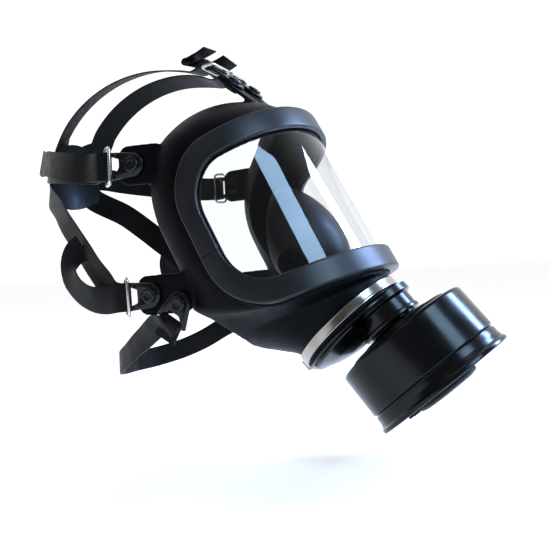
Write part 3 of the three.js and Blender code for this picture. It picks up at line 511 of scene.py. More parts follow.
def half_space(name, direction, t):
    """Everything on one side of a plane across the visor's cylinder."""
    size = 400
    turn = Matrix.Rotation(-LENS_TILT, 4, "X")
    centre = turn @ Vector((0, 0, t + direction * size / 2))
    bpy.ops.mesh.primitive_cube_add(size=size * MM)
    cube = bpy.context.object
    cube.name = name
    cube.matrix_world = Matrix.Translation(centre * MM) @ turn
    bpy.context.view_layer.update()
    return cube


FRAME_SECTION = [
    (0, WALL_LOW), (0, RIM_PROUD), (RIM_WIDTH, RIM_PROUD),
    (RIM_WIDTH, PLATE_LOW), (RIM_WALL, PLATE_LOW), (RIM_WALL, WALL_LOW),
]


def build_frame():
    section = rounded(FRAME_SECTION, 1.5, True, 5)
    for part, direction in (("upper", 1), ("lower", -1)):
        vertices, faces = sweep(rim_band(section), True)
        piece = new_piece(f"frame_{part}", vertices, faces)
        tool = half_space("half", -direction, SPLIT_T + direction * SPLIT_GAP / 2)
        cut(piece, tool)
        finish_piece(piece, MASK, rim.material, "frame", f"visor_frame_{part}")


def build_lens():
    """A curved sheet made of strips from its lower edge to its upper edge."""
    a, b = RIM_HALF_LEN - LENS_INSET, RIM_HALF_HT - LENS_INSET
    r = RIM_CORNER - LENS_INSET * 0.6
    corner = [(-(a - r) - r * math.cos(q), b - r + r * math.sin(q))
              for q in np.linspace(0.02, math.pi / 2, 18)]
    middle = [(s, b) for s in np.linspace(-(a - r), a - r, 90)[1:-1]]
    columns = corner + middle + [(-s, t) for s, t in corner[::-1]]
    rows = 24
    rings = []
    for s, top in columns:
        t = np.linspace(-top, top, rows)
        t = t + bow(s) * t / RIM_HALF_HT
        rings.append(np.vstack([visor_point(s, t, LENS_THICK / 2),
                                visor_point(s, t[::-1], -LENS_THICK / 2)]))
    vertices, faces = sweep(rings, False)
    piece = new_piece("visor", vertices, faces, 60)
    finish_piece(piece, MASK, glass.material, "lens", "visor_lens")


build_frame()
build_lens()

# ---------------------------------------------------------------- rubber facepiece

SKIRT = [
    (0, -3, 114), (-22, 0, 113), (-41, 9, 109), (-56, 21, 101), (-67, 33, 89), (-73, 43, 75),
    (-75, 50, 45), (-74.5, 46, 20), (-73.5, 36, -2), (-73, 27, -20), (-72, 20, -46),
    (-65, 4, -57), (-48, -6, -70), (-26, -8, -80), (0, -8, -84),
]
LOOP_HALF = 110
CENTRE = np.array([0.0, -20.0, 5.0])
SEAL_WIDTH, SEAL_FORWARD, SEAL_THICK = 15, 12, 2.6


def half_loop(points):
    """Evenly spaced points down the wearer's right, mirrored to the left."""
    half = spline(points, count=LOOP_HALF)
    half[[0, -1], 0] = 0
    return np.vstack([half, half[1:-1][::-1] * [-1, 1, 1]])


def front_loop(inset, rho):
    line = rim_outline(inset)
    half = line[:len(line) // 2 + 1]
    points = resample(visor_point(half[:, 0], half[:, 1], rho), count=LOOP_HALF)
    points[[0, -1], 0] = 0
    return np.vstack([points, points[1:-1][::-1] * [-1, 1, 1]])


def shrink(loop, amount):
    out = (loop - CENTRE) * [1, 0, 1]
    return loop - out / np.linalg.norm(out, axis=1)[:, None] * amount


def shift(loop, y):
    return loop + [0, y, 0]


skirt = half_loop(SKIRT)
front_edge = front_loop(FLANGE_INSET, FLANGE_LOW)
BLENDS = np.linspace(0.1, 0.94, 12)


def collar_loops():
    loops = []
    for f in BLENDS:
        bulge = 4.3 * math.sin(math.pi * f) ** 0.75
        loops.append(shrink(front_edge * (1 - f) + skirt * f, -bulge))
    return loops


def loft(name, loops):
    """A closed solid through loops, with flat or nearly flat ends."""
    n = len(loops[0])
    vertices, faces = sweep(loops, False, capped=False)
    last = (len(loops) - 1) * n
    for base in (0, last):
        faces.append((base, base + 1, base + n - 1))
        for i in range(1, n // 2 - 1):
            faces.append((base + i, base + i + 1, base + n - i - 1, base + n - i))
        faces.append((base + n // 2 - 1, base + n // 2, base + n // 2 + 1))
    return new_piece(name, vertices, faces)


def collar_piece():
    loops = collar_loops()
    tip = shift(shrink(skirt, SEAL_WIDTH), -SEAL_FORWARD)
    mid = shift(shrink(skirt, SEAL_WIDTH * 0.5), -SEAL_FORWARD * 0.38)
    wall_room = WALL_LOW - 0.3
    section = [
        front_loop(FLANGE_INSET, wall_room), front_edge, *loops,
        skirt, shift(shrink(skirt, 0.9), 0.5), mid, tip, shift(tip, -SEAL_THICK),
        shift(mid, -SEAL_THICK), shift(shrink(skirt, RUBBER), -SEAL_THICK - 1),
        *[shrink(loop, RUBBER) for loop in loops[::-1]],
        front_loop(RUBBER, FLANGE_LOW), front_loop(RIM_WIDTH, FLANGE_LOW),
        front_loop(RIM_WIDTH, FLANGE_TOP), front_loop(RIM_WALL + 0.3, FLANGE_TOP),
        front_loop(RIM_WALL + 0.3, wall_room),
    ]
    vertices, faces = sweep(section, True)
    return new_piece("facepiece_skin", vertices, faces)


# chin piece, from the clamp back to the cheeks: z, y centre, half x and half y in the port frame
SNOUT = [
    (6, 0, 45, 45), (-6.5, 0, 45, 45), (-20, -4, 51, 51), (-38, -9, 63, 60), (-70, -14, 72, 66),
]


def snout_piece(name, inset, ends=0.0):
    stations = spline(np.array(SNOUT, float), count=40)
    angles = np.arange(120) * 2 * math.pi / 120
    rings = []
    for z, cy, rx, ry in stations:
        rings.append([((rx - inset) * math.sin(a), cy + (ry - inset) * math.cos(a), z)
                      for a in angles])
    if ends:
        rings.insert(0, np.array(rings[0]) + [0, 0, ends])
        rings.append(np.array(rings[-1]) - [0, 0, ends * 2.8])
    vertices, faces = sweep(rings, False)
    return new_piece(name, moved(vertices, PORT), faces)


def cavity_piece():
    loops = [shrink(loop, RUBBER + 0.4) for loop in (front_edge, *collar_loops(), skirt)]
    first, last = loops[0].copy(), loops[-1].copy()
    first[:, 1], last[:, 1] = -135, 75
    return loft("cavity", [first, *loops, last])


def behind_skirt():
    """Everything behind the facepiece's edge, as an extrusion across the face."""
    far = 260
    half = shift(skirt, -RUBBER / 2)[:LOOP_HALF + 1]
    outline = [(far, far), (half[0, 1], far), *half[:, 1:], (half[-1, 1], -far), (far, -far)]
    rings = [[(x, y, z) for y, z in outline] for x in (-far, far)]
    vertices, faces = sweep(rings, False)
    return new_piece("behind", vertices, faces)


def tab_piece(tab, sign):
    """A moulded strap tab: a flat slab with rounded corners and edges."""
    root, width = TAB_SIZE[tab]
    r = 9.5
    outline = rounded([(-root, -width / 2), (TAB_END, -width / 2), (TAB_END, width / 2),
                       (-root, width / 2)], r, True, 14)
    rings = []
    for z, inset in ((-RUBBER, 0.6), (-RUBBER + 0.6, 0), (-0.8, 0), (-0.25, 0.25), (0, 0.8)):
        centre = np.array([(TAB_END - root) / 2, 0])
        scale = 1 - inset * 2 / np.array([TAB_END + root, width])
        rings.append([(*(centre + (np.array(p) - centre) * scale), z) for p in outline])
    vertices, faces = sweep(rings, False)
    return new_piece("tab", moved(vertices, stud_frame(tab, sign)), faces)


def room_piece():
    low = WALL_LOW - 1.0
    section = [(-30, low), (-30, 30), (RIM_WIDTH + 2, 30), (RIM_WIDTH + 2, low)]
    vertices, faces = sweep(rim_band(section, top=24, corner=10, end=4), True)
    return new_piece("room", vertices, faces)


def disc_tool(radius, low, high, matrix, segments=64):
    return lathe("tool", [(0, low), (radius, low), (radius, high), (0, high)], matrix, 0.01,
                 segments=segments)


VOXEL, QUICK_VOXEL, FAIRING_PASSES = 1.15, 2.4, 5
BUTTON_HOLE_R, BUTTON_HEAD_R = 4.8, 7.8


def build_facepiece():
    skin = collar_piece()
    chin = snout_piece("chin", 0)
    cut(chin, cavity_piece(), room_piece(), behind_skirt())
    seal = loft("seal", [shift(shrink(skirt, -1), 1), shift(shrink(skirt, -1), -SEAL_THICK - 2),
                         shift(shift(shrink(skirt, SEAL_WIDTH), -SEAL_FORWARD), -SEAL_THICK - 1)])
    inside = snout_piece("chin_inside", RUBBER, ends=5.0)
    cut(inside, seal)
    cut(skin, chin, operation="UNION")
    for tab in TABS:
        for _, sign in SIDES:
            piece = tab_piece(tab, sign)
            cut(piece, cavity_piece(), room_piece())
            cut(skin, piece, operation="UNION")
    cut(skin, inside)
    cut(skin, disc_tool(54, SNOUT[0][0] + 0.1, 40, PORT))
    remesh = skin.modifiers.new("one_skin", "REMESH")
    remesh.mode = "VOXEL"
    remesh.voxel_size = VOXEL * MM
    apply_modifiers(skin)
    fair = skin.modifiers.new("fair", "SMOOTH")
    fair.factor = 0.5
    fair.iterations = FAIRING_PASSES
    apply_modifiers(skin)
    for tab in (*TABS, "neck"):
        for _, sign in SIDES:
            place = stud_frame(tab, sign)
            cut(skin, disc_tool(BUTTON_HOLE_R, -12, 12, place, 32))
            cut(skin, disc_tool(BUTTON_HEAD_R, -12, -RUBBER - 0.05, place, 32))
    skin.data.shade_smooth()
    finish_piece(skin, MASK, rubber.material, "face_rubber", "facepiece")
    for tab in TABS:
        for side, sign in SIDES:
            ring = lathe(f"{tab}_boss_{side}",
                         [(10.4, -0.6), (12.0, -0.6), (12.0, 0.35), (10.4, 0.35)],
                         stud_frame(tab, sign), 0.4, closed=True, segments=64)
            finish_piece(ring, MASK, rubber.material, "face_rubber")


build_facepiece()

# ---------------------------------------------------------------- nose cup and its valves

CUP = {"x": 36, "depth": 31, "long": 50, "y": -40, "z": 2, "wall": 2.2}
CUP_TILT = math.atan2(0.62, 0.78)
CUP_VALVE_AT, CUP_VALVE_R = np.array([-27.0, -46, -14]), 11


def cup_matrix():
    matrix = np.eye(4)
    matrix[1:3, 1:3] = turned(-CUP_TILT)
    matrix[:3, 3] = [0, CUP["y"], CUP["z"]]
    return matrix


def cup_valve_frame(sign):
    """Frame on the cup's wall beside the mouth, with +Z leaving the wall."""
    turn = cup_matrix()
    scale = np.array([CUP["x"], CUP["depth"], CUP["long"]])
    at = CUP_VALVE_AT * [-sign, 1, 1]
    local = unit((at - turn[:3, 3]) @ turn[:3, :3] / scale)
    out = unit(turn[:3, :3] @ (local / scale))
    return frame_from(unit(np.cross([0, 0, 1], out)), out, moved(local * scale, turn))


def cup_ball(name, inset):
    rows, columns = 64, 96
    rings = []
    for i in range(1, rows):
        polar = math.pi * i / rows
        rings.append([(math.sin(polar) * math.cos(a), math.cos(polar), math.sin(polar) * math.sin(a))
                      for a in np.arange(columns) * 2 * math.pi / columns])
    vertices, faces = sweep(rings, False)
    scale = [CUP["x"] - inset, CUP["depth"] - inset, CUP["long"] - inset]
    return new_piece(name, moved(vertices * scale, cup_matrix()), faces)


def build_nose_cup():
    cup = cup_ball("inner_cup", 0)
    behind = box_piece("behind", (300, 120, 300), (0, -26 + 60, 0), np.eye(4))
    cut(cup, cup_ball("hollow", CUP["wall"]), behind, disc_tool(18, -40, 120, PORT))
    for _, sign in SIDES:
        cut(cup, disc_tool(CUP_VALVE_R + 0.3, -6.8, 7.8, cup_valve_frame(sign)))
    bevelled(cup, 0.6, 2)
    finish_piece(cup, MASK, soft_rubber.material, "soft_rubber", "nose_cup")
    for side, sign in SIDES:
        place = cup_valve_frame(sign)
        r = CUP_VALVE_R
        seat = lathe(f"cup_seat_{side}", [(r - 2.2, -3.4), (r, -3.4), (r, 1.4), (r + 1.6, 1.4),
                     (r + 1.6, 2.6), (r - 2.2, 2.6)], place, 0.5, closed=True, segments=64)
        for i in range(4):
            spin = np.eye(4)
            spin[:2, :2] = turned(math.pi * i / 4)
            cut(seat, box_piece("spoke", (2 * r - 3, 1.3, 1.2), (0, 0, 0.7), place @ spin, 0.3),
                operation="UNION")
        cut(seat, lathe("hub", [(0, 0), (2.6, 0), (2.6, 1.6), (0, 1.6)], place, 0.3, segments=32),
            operation="UNION")
        finish_piece(seat, MASK, plastic.material, "plastic", f"cup_valve_seat_{side}")
        flap = lathe(f"cup_disc_{side}", [(0, -1.3), (r - 2.6, -1.3), (r - 2.6, -0.3), (0, -0.3)],
                     place, 0.3, segments=48)
        finish_piece(flap, f"cup_valve_{side}", soft_rubber.material, "soft_rubber",
                     f"cup_valve_disc_{side}")


build_nose_cup()

# ---------------------------------------------------------------- clamp, housing and canister

HOUSING_LOW, HOUSING_LIP, HOUSING_FACE, LIP_R, PLUG_R = -9, 6.4, 8.6, 44.6, 41.1
EXHALE_Y, EXHALE_BORE, EXHALE_DISC, COVER_R = -17, 12.5, 15, 42.6
INLET_Y, INLET_BORE, INLET_RECESS = 21.5, 11.5, 14.4


def shifted(y):
    """The port's frame, moved along its own Y."""
    matrix = np.eye(4)
    matrix[1, 3] = y
    return PORT @ matrix


def build_clamp():
    inner, outer, half = CLAMP_R - CLAMP_THICK, CLAMP_R, CLAMP_WIDTH / 2
    section = [(inner, -half), (outer, -half + 0.4), (outer + 0.15, -half + 1.1),
               (outer, -half + 1.8), (outer, half - 1.8), (outer + 0.15, half - 1.1),
               (outer, half - 0.4), (inner, half)]
    band = lathe("clamp", section, PORT, 0.3, closed=True, segments=160)
    cut(band, box_piece("gap", (CLAMP_GAP, 12, 24), (0, -CLAMP_R, 0), PORT, 0.2))
    finish_piece(band, MASK, steel.material, "steel", "clamp_band")
    block = box_piece("clamp_block", (CLAMP_GAP - 0.6, 5.4, CLAMP_WIDTH + 1),
                      (0, -CLAMP_R + CLAMP_THICK - 2.7, 0), PORT, 1.1)
    screw = lathe("clamp_screw", [(0, 4.2), (1.9, 4.2), (1.9, 5.6), (0, 5.6)],
                  shifted(-CLAMP_R - 1.5), 0.4, segments=32)
    cut(screw, box_piece("slot", (3.0, 0.6, 1.2), (0, -CLAMP_R - 1.5, 5.6), PORT, 0.1))
    finish_piece(block, MASK, steel.material, "steel", "clamp_buckle")
    finish_piece(screw, MASK, nickel.material, "steel")


def build_housing():
    body = lathe("chin_housing", [(0, HOUSING_LOW), (PLUG_R, HOUSING_LOW), (PLUG_R, HOUSING_LIP),
                 (LIP_R, HOUSING_LIP), (LIP_R, HOUSING_FACE), (0, HOUSING_FACE)], PORT, 0.6)
    end, floor = CONNECTOR_END, SOCKET_FLOOR
    connector = lathe("connector", [
        (0, floor - 8), (CONNECTOR_R + 3.2, floor - 8), (CONNECTOR_R + 3.2, floor + 1.0),
        (CONNECTOR_R, floor + 2.2), (CONNECTOR_R, end - 3), (CONNECTOR_R + 0.9, end - 2.6),
        (CONNECTOR_R + 0.9, end), (0, end)], FILTER, 0.6)
    behind = lathe("behind", [(PLUG_R, -40), (80, -40), (80, HOUSING_LIP), (PLUG_R, HOUSING_LIP)],
                   PORT, 0.01, closed=True)
    cut(connector, behind)
    cut(body, connector, operation="UNION")
    cut(body, disc_tool(SOCKET_R, floor, 10, FILTER, 96), disc_tool(15, floor - 7.5, 0, FILTER))
    cut(body, disc_tool(INLET_RECESS, HOUSING_LOW - 1, -3, shifted(INLET_Y)))
    cut(body, disc_tool(INLET_BORE, -4, 0, shifted(INLET_Y)))
    cut(body, disc_tool(EXHALE_BORE, HOUSING_LOW - 1, 20, shifted(EXHALE_Y)))
    bevelled(body, 0.45, 3, 35)
    flat_shading(body)
    finish_piece(body, MASK, plastic.material, "plastic", "port_housing")


COVER_DOME = [(0, 20.4), (14, 19.4), (27, 16.4), (36, 13), (41.4, 11.4), (42.6, 10.2)]


def build_cover():
    low, wall = HOUSING_FACE + 0.3, 1.8
    inside = [(r - wall * 0.7, z - wall) for r, z in COVER_DOME[1:-1][::-1]]
    shell = lathe("exhale_cover", [*COVER_DOME, (COVER_R, low), (COVER_R - wall, low), *inside,
                  (0, COVER_DOME[0][1] - wall)], PORT, 1.6)
    cut(shell, disc_tool(CONNECTOR_R + 1.2, -60, 20, FILTER, 96))
    upper = box_piece("upper", (120, 60, 80), (0, INLET_Y + 20, 20), PORT, 0.1)
    vent = box_piece("vent", (26, 16, 1.9), (0, -COVER_R, low + 0.75), PORT, 0.3)
    cut(shell, upper, vent)
    bevelled(shell, 0.4, 2, 45)
    finish_piece(shell, MASK, plastic.material, "plastic", "exhale_cover")


def build_valves():
    face = HOUSING_FACE + 0.3
    exhale = lathe("exhale_flap", [(0, face), (EXHALE_DISC, face), (EXHALE_DISC, face + 1.2),
                   (3, face + 1.2), (2, face + 2.4), (0, face + 2.4)],
                   shifted(EXHALE_Y), 0.4, segments=64)
    finish_piece(exhale, "exhale_valve", soft_rubber.material, "soft_rubber", "exhale_valve_disc")
    r = INLET_BORE + 1.9
    inlet = lathe("inlet_flap", [(0, -4.5), (r, -4.5), (r, -3.3), (0, -3.3)],
                  shifted(INLET_Y), 0.4, segments=64)
    finish_piece(inlet, "inlet_valve", soft_rubber.material, "soft_rubber", "inlet_valve_disc")
    gasket = lathe("gasket_ring", [(15.8, -22.3), (19.6, -22.3), (19.6, -20.9), (15.8, -20.9)],
                   FILTER, 0.4, closed=True, segments=64)
    finish_piece(gasket, "gasket", soft_rubber.material, "soft_rubber", "connector_gasket")


CANISTER_R, BODY_STEP, BODY_END, SKIRT_R, WALL, NECK_BORE = 53.5, 35.5, 45.6, 51.9, 1.4, 16.5
NECK_END, CANISTER_LEN, FLANGE_R, INTAKE_R = -20.6, 48.7, 55.2, 20


def thread_profile():
    """The neck's round thread, from its end to the shoulder."""
    crest, depth, pitch = 19.6, 0.9, 3.63
    points = []
    for z in np.arange(NECK_END + 0.6, -5.5, pitch / 8):
        points.append((crest - depth / 2 + depth / 2 * math.cos(2 * math.pi * z / pitch), z))
    return points


def build_canister():
    body = lathe("filter_body", [
        (NECK_BORE, NECK_END), (18.7, NECK_END), *thread_profile(), (19.0, -5), (29, -5), (30, -2.6),
        (42, -2.6), (43, 0), (50.5, 0), (52.8, 0.8), (CANISTER_R, 2.6), (CANISTER_R, BODY_STEP - 1),
        (SKIRT_R, BODY_STEP), (SKIRT_R, BODY_END), (SKIRT_R - WALL, BODY_END), (SKIRT_R - WALL, 3),
        (50, WALL), (31, WALL - 1.5), (28, -3.4), (NECK_BORE, -3.4)], FILTER, 0.7, True, 160)
    flat_shading(body)
    finish_piece(body, "canister", canister.material, "canister", "canister_body")
    lid = lathe("filter_lid", [
        (INTAKE_R, 46.6), (49, 46.6), (SKIRT_R + 0.3, 45.9), (SKIRT_R + 0.3, BODY_STEP + 1),
        (SKIRT_R + 1.1, BODY_STEP + 1), (SKIRT_R + 1.2, 41), (53.8, 44.5), (FLANGE_R, 45.8),
        (FLANGE_R, 48), (FLANGE_R - 0.8, CANISTER_LEN), (52.6, CANISTER_LEN), (51, 47.9),
        (34, 47.9), (31, 49.2), (INTAKE_R, 49.2)], FILTER, 0.5, True, 160)
    flat_shading(lid)
    finish_piece(lid, "canister", canister.material, "canister", "canister_lid")
    plug = lathe("intake_plug", [(0, 44), (INTAKE_R - 0.3, 44), (INTAKE_R - 0.3, 49.6), (25, 49.6),
                 (25.4, 50.4), (24.4, 52.2), (20, 53.4), (0, 54)], FILTER, 0.8, segments=96)
    pull = box_piece("pull", (12, 14, 1.8), (0, -28, 50.5), FILTER, 0.8)
    grips = [box_piece("grip", (8, 0.8, 0.6), (0, -27 - i * 2.0, 51.5), FILTER, 0.25)
             for i in range(3)]
    cut(plug, pull, *grips, operation="UNION")
    bevelled(plug, 0.3, 2, 50)
    finish_piece(plug, "plug", soft_rubber.material, "soft_rubber", "canister_plug")


build_clamp()
build_housing()
build_cover()
build_valves()
build_canister()

# ---------------------------------------------------------------- studs, links and rings


def build_stud(tab, side, sign):
    profile = [(0, -5.2), (6.6, -5.2), (7, -4.6), (7, -3.3), (4, -3.3), (4, 3.1), (6, 3.1),
               (6, 4.4), (4.9, 5.3), (3.2, 5.3), (2.4, 4.9), (0, 4.9)]
    stud = lathe(f"{tab}_button_{side}", profile, stud_frame(tab, sign), 0.5, segments=64)
    finish_piece(stud, MASK, plastic.material, "plastic", f"{tab}_stud_{side}")


def build_link(tab, side, sign, reach, half_width, slot):
    """Flat link: a round eye on the stud and two arms to an end bar."""
    eye_r, end_r = 9.5, 1.5
    arm = math.asin(min(1, eye_r / (reach + 4))) / 2

    def end_corner(y, first, last):
        return [(reach - 0.1 + end_r * math.cos(a), y + end_r * math.sin(a))
                for a in np.linspace(first, last, 8)]

    outline = np.array([
        *end_corner(half_width - end_r, 0, math.pi / 2),
        *[(eye_r * math.cos(a), eye_r * math.sin(a))
          for a in np.linspace(math.pi / 2 + arm, math.pi * 1.5 - arm, 48)],
        *end_corner(end_r - half_width, -math.pi / 2, 0),
    ])
    centre = np.array([reach * 0.45, 0])
    rings = []
    for z, inset in ((LINK_LOW, 0.5), (LINK_LOW + 0.5, 0), (LINK_HIGH - 0.6, 0), (LINK_HIGH, 0.7)):
        lengths = np.linalg.norm(outline - centre, axis=1)[:, None]
        rings.append(np.column_stack([centre + (outline - centre) * (1 - inset / lengths),
                                      np.full(len(outline), z)]))
    vertices, faces = sweep(rings, False)
    place = stud_frame(tab, sign)
    link = new_piece(f"{tab}_loop_{side}", moved(vertices, place), faces)
    cut(link, disc_tool(4.3, -2, 6, place, 48))
    hole = [(slot["from"], -slot["near"]), (slot["from"], slot["near"]),
            (slot["to"], slot["far"]), (slot["to"], -slot["far"])]
    hole = rounded(hole, 1.2, True, 5)
    vertices, faces = sweep([[(x, y, z) for x, y in hole] for z in (-2, 6)], False)
    cut(link, new_piece("hole", moved(vertices, place), faces))
    bevelled(link, 0.3, 2, 50)
    finish_piece(link, f"{tab}_link_{side}", plastic.material, "plastic", f"{tab}_link_{side}")


BUCKLE_LEN, BUCKLE_WIDTH, WIRE, BUCKLE_TURN = 31, 13, 2.4, math.radians(45)


def build_ring(tab, side, sign):
    """Rectangular ring of round wire about the link's end bar."""
    half, across, corner = BUCKLE_LEN / 2 - WIRE / 2, BUCKLE_WIDTH / 2 - WIRE / 2, 3
    path = []
    for cx, cy, start in ((across, half, 0), (-across, half, 90), (-across, -half, 180),
                          (across, -half, 270)):
        for a in np.radians(np.linspace(start, start + 90, 10)):
            path.append((cx - math.copysign(corner, cx) + corner * math.cos(a),
                         cy - math.copysign(corner, cy) + corner * math.sin(a), 0))
    path = np.array(path)
    rings = []
    for i, p in enumerate(path):
        along = path[(i + 1) % len(path)] - path[i - 1]
        out = np.cross(unit(along), [0, 0, 1])
        rings.append([p + WIRE / 2 * (out * math.cos(a) + np.array([0, 0, 1]) * math.sin(a))
                      for a in np.arange(20) * 2 * math.pi / 20])
    vertices, faces = sweep(rings, True)
    c, s = math.cos(BUCKLE_TURN), math.sin(BUCKLE_TURN)
    turn = np.array([[c, 0, s], [0, 1, 0], [-s, 0, c]])
    vertices = vertices @ turn.T + [LINK_REACH, 0, (LINK_LOW + LINK_HIGH) / 2]
    ring = new_piece(f"{tab}_wire_{side}", moved(vertices, stud_frame(tab, sign)), faces)
    finish_piece(ring, f"{tab}_ring_{side}", nickel.material, "nickel", f"{tab}_buckle_{side}")


LINK_SLOT = {"from": 10.6, "to": 19.5, "near": 5, "far": 8}
NECK_SLOT = {"from": 7.6, "to": 12.6, "near": 4.6, "far": 9.4}
for side, sign in SIDES:
    for tab in TABS:
        build_stud(tab, side, sign)
        build_link(tab, side, sign, LINK_REACH, 11, LINK_SLOT)
        build_ring(tab, side, sign)
    build_stud("neck", side, sign)
    build_link("neck", side, sign, NECK_REACH, 13.5, NECK_SLOT)

# ---------------------------------------------------------------- straps and head pad


def crown(x, y, lift):
    """A point over the top of the head, lift above its skin."""
    k = 1 - (x / HEAD[0]) ** 2 - ((y - HEAD_CENTRE[1]) / HEAD[1]) ** 2
    return [x, y, HEAD_CENTRE[2] + HEAD[2] * math.sqrt(k) + lift]


def round_head(turn, z, lift):
    """A point round the head at height z, turned from the wearer's right towards the back."""
    k = math.sqrt(1 - ((z - HEAD_CENTRE[2]) / HEAD[2]) ** 2)
    q = math.radians(turn)
    x = -(HEAD[0] * k + lift) * math.cos(q)
    return [x, HEAD_CENTRE[1] + (HEAD[1] * k + lift) * math.sin(q), z]


def from_head(p):
    return unit((p - HEAD_CENTRE) / HEAD ** 2)


SIDE_PASSES = 30


def steady_sides(points, wanted, start):
    """Sideways directions along a strap, from wanted(i, along), with no sudden turns or flips."""
    count = len(points)
    along = [unit(points[min(i + 1, count - 1)] - points[max(i - 1, 0)]) for i in range(count)]
    sides = [None] * count
    for order in (range(start, count), range(start - 1, -1, -1)):
        before = sides[start]
        for i in order:
            side = wanted(i, along[i])
            if before is not None and side.dot(before) < 0:
                side = -side
            sides[i] = before = unit(side)
    sides = np.array(sides)
    for _ in range(SIDE_PASSES):
        sides[1:-1] = (sides[:-2] + sides[1:-1] * 2 + sides[2:]) / 4
    return [side - a * side.dot(a) for side, a in zip(sides, along)]


def ribbon(name, points, sides, width, thick):
    """A strap along points, each with its sideways direction. Its UV map is in mm."""
    section = np.array(rounded([(-0.5, -0.5), (0.5, -0.5), (0.5, 0.5), (-0.5, 0.5)], 0.12, True, 2))
    middle = np.linspace(-0.38, 0.38, 9)
    low = [(u, -0.5) for u in middle]
    high = [(u, 0.5) for u in middle[::-1]]
    section = np.array([*section[1:3], *low, *section[3:6], *section[6:9], *high, *section[9:],
                        section[0]])
    rings, runs, run = [], [], 0.0
    for i, (p, side) in enumerate(zip(points, sides)):
        along = points[min(i + 1, len(points) - 1)] - points[max(i - 1, 0)]
        across = unit(side)
        normal = np.cross(unit(along), across)
        rings.append([p + across * u * width + normal * v * thick for u, v in section])
        if i:
            run += np.linalg.norm(p - points[i - 1])
        runs.append(run)
    vertices, faces = sweep(rings, False)
    piece = new_piece(name, vertices, faces, 50)
    layer = piece.data.uv_layers.new(name="StrapMap")
    for loop in piece.data.loops:
        i, j = divmod(loop.vertex_index, len(section))
        layer.data[loop.index].uv = (section[j][0] * width, runs[i])
    return piece


def stitches(name, centre_line, faces_out, lift, length=2.2, gap=1.2, radius=0.32):
    """A row of raised thread stitches along a line of points, as one mesh."""
    line = resample(np.asarray(centre_line, float), spacing=length + gap)
    parts, faces, base = [], [], 0
    for a, b in zip(line[:-1], line[1:]):
        along = unit(b - a)
        normal = faces_out((a + b) / 2)
        across = np.cross(normal, along)
        rings = []
        for t, r in ((-0.5, 0.3), (-0.35, 0.9), (0, 1.0), (0.35, 0.9), (0.5, 0.3)):
            middle = (a + b) / 2 + along * t * length + normal * (lift + radius * 0.4 * (r - 0.5))
            rings.append([middle + radius * r * (across * math.cos(q) + normal * math.sin(q))
                          for q in np.arange(6) * math.pi / 3])
        v, f = sweep(rings, False)
        parts.append(v)
        faces += [tuple(k + base for k in face) for face in f]
        base += len(v)
    return new_piece(name, np.vstack(parts), faces)


def local(tab, sign, points):
    return moved([(x, 0, z) for x, z in points], stud_frame(tab, sign))


# the strap's fold round the link's end bar, from the outer layer to the inner one
FOLD = [(27, 4.6), (23.5, 3.9), (21, 3.6), (19.3, 3.3), (18.4, 2.5), (18.15, 1.6), (18.4, 0.6),
        (19.3, -0.2), (21, -0.45), (23.2, -0.2), (25.3, 0.5), (27.5, 0.2)]
FOLD_OUT = 5    # the fold's point on the far side of the bar


def on_pad(turns, heights, lift=4.6):
    return [round_head(turn, z, lift) for turn, z in zip(turns, heights)]


PATHS = {
    "temple": {
        "outer": [[-50, 187, 84], [-54, 181, 81],
                  *[round_head(turn, 63.5 + (turn - 2.4) * 0.40, 6.6)
                    for turn in (42, 33, 24, 15, 6)]],
        "inner": [*[round_head(turn, 63 + (turn - 2.4) * 0.26, 2.2)
                    for turn in np.linspace(4, 60, 10)],
                  *on_pad((66, 70), (79, 79.5))],
    },
    "top": {
        "outer": [[-17, 27, 164.5], [-17, 34, 162.0], [-17, 41, 160.0], [-17, 47, 157.6],
                  [-17, 47.5, 154.8], [-17, 43, 153.0]],
        "inner": [*[crown(-17 - (y - 35) * 0.05, y, 3.2 if y < 44 else 2.4)
                    for y in (40, 50, 60, 76, 92, 110, 128, 146, 162, 176, 186)],
                  *on_pad((76.5, 77), (101, 94))],
    },
    "lower": {
        "outer": [[-67, 127, 5], [-68.5, 134, 0], [-70, 138, -8], [-72, 137, -18], [-75, 129, -27],
                  [-78, 117, -34.5], [-80.5, 104, -38.5], [-82, 92, -39]],
        "inner": [[-80, 86, -35], [-76, 98, -24.5], [-71, 112, -13], [-66, 126, 0], [-60, 142, 14],
                  [-54, 158, 28], [-46, 173, 41], *on_pad((68, 73), (57, 64))],
    },
}


def strap_normal(tab, sign):
    """Face direction: the stud's normal near the link, and away from the head behind it."""
    place = stud_frame(tab, sign)
    origin, along, out = place[:3, 3], place[:3, 0], place[:3, 2]

    def towards(p):
        reach = (p - origin).dot(along)
        share = min(max((reach - 24) / 30, 0), 1)
        mixed = out * (1 - share) + from_head(p) * share
        if tab == "lower":
            mixed = mixed * [1, 0.35, 0.35]
        return unit(mixed)

    return towards


def finish_strap(strap, node):
    """Gives a strap the webbing material and hides the CAD strap node that it replaces."""
    strap.data.materials.append(web.material)
    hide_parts(node)
    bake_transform(strap)


STRAP_THICK, NECK_WIDTH, NECK_THICK, STEP = 1.3, 18, 1.5, 1.6
FOLD_STEPS = 14     # steps each way of the bar in which the webbing turns over


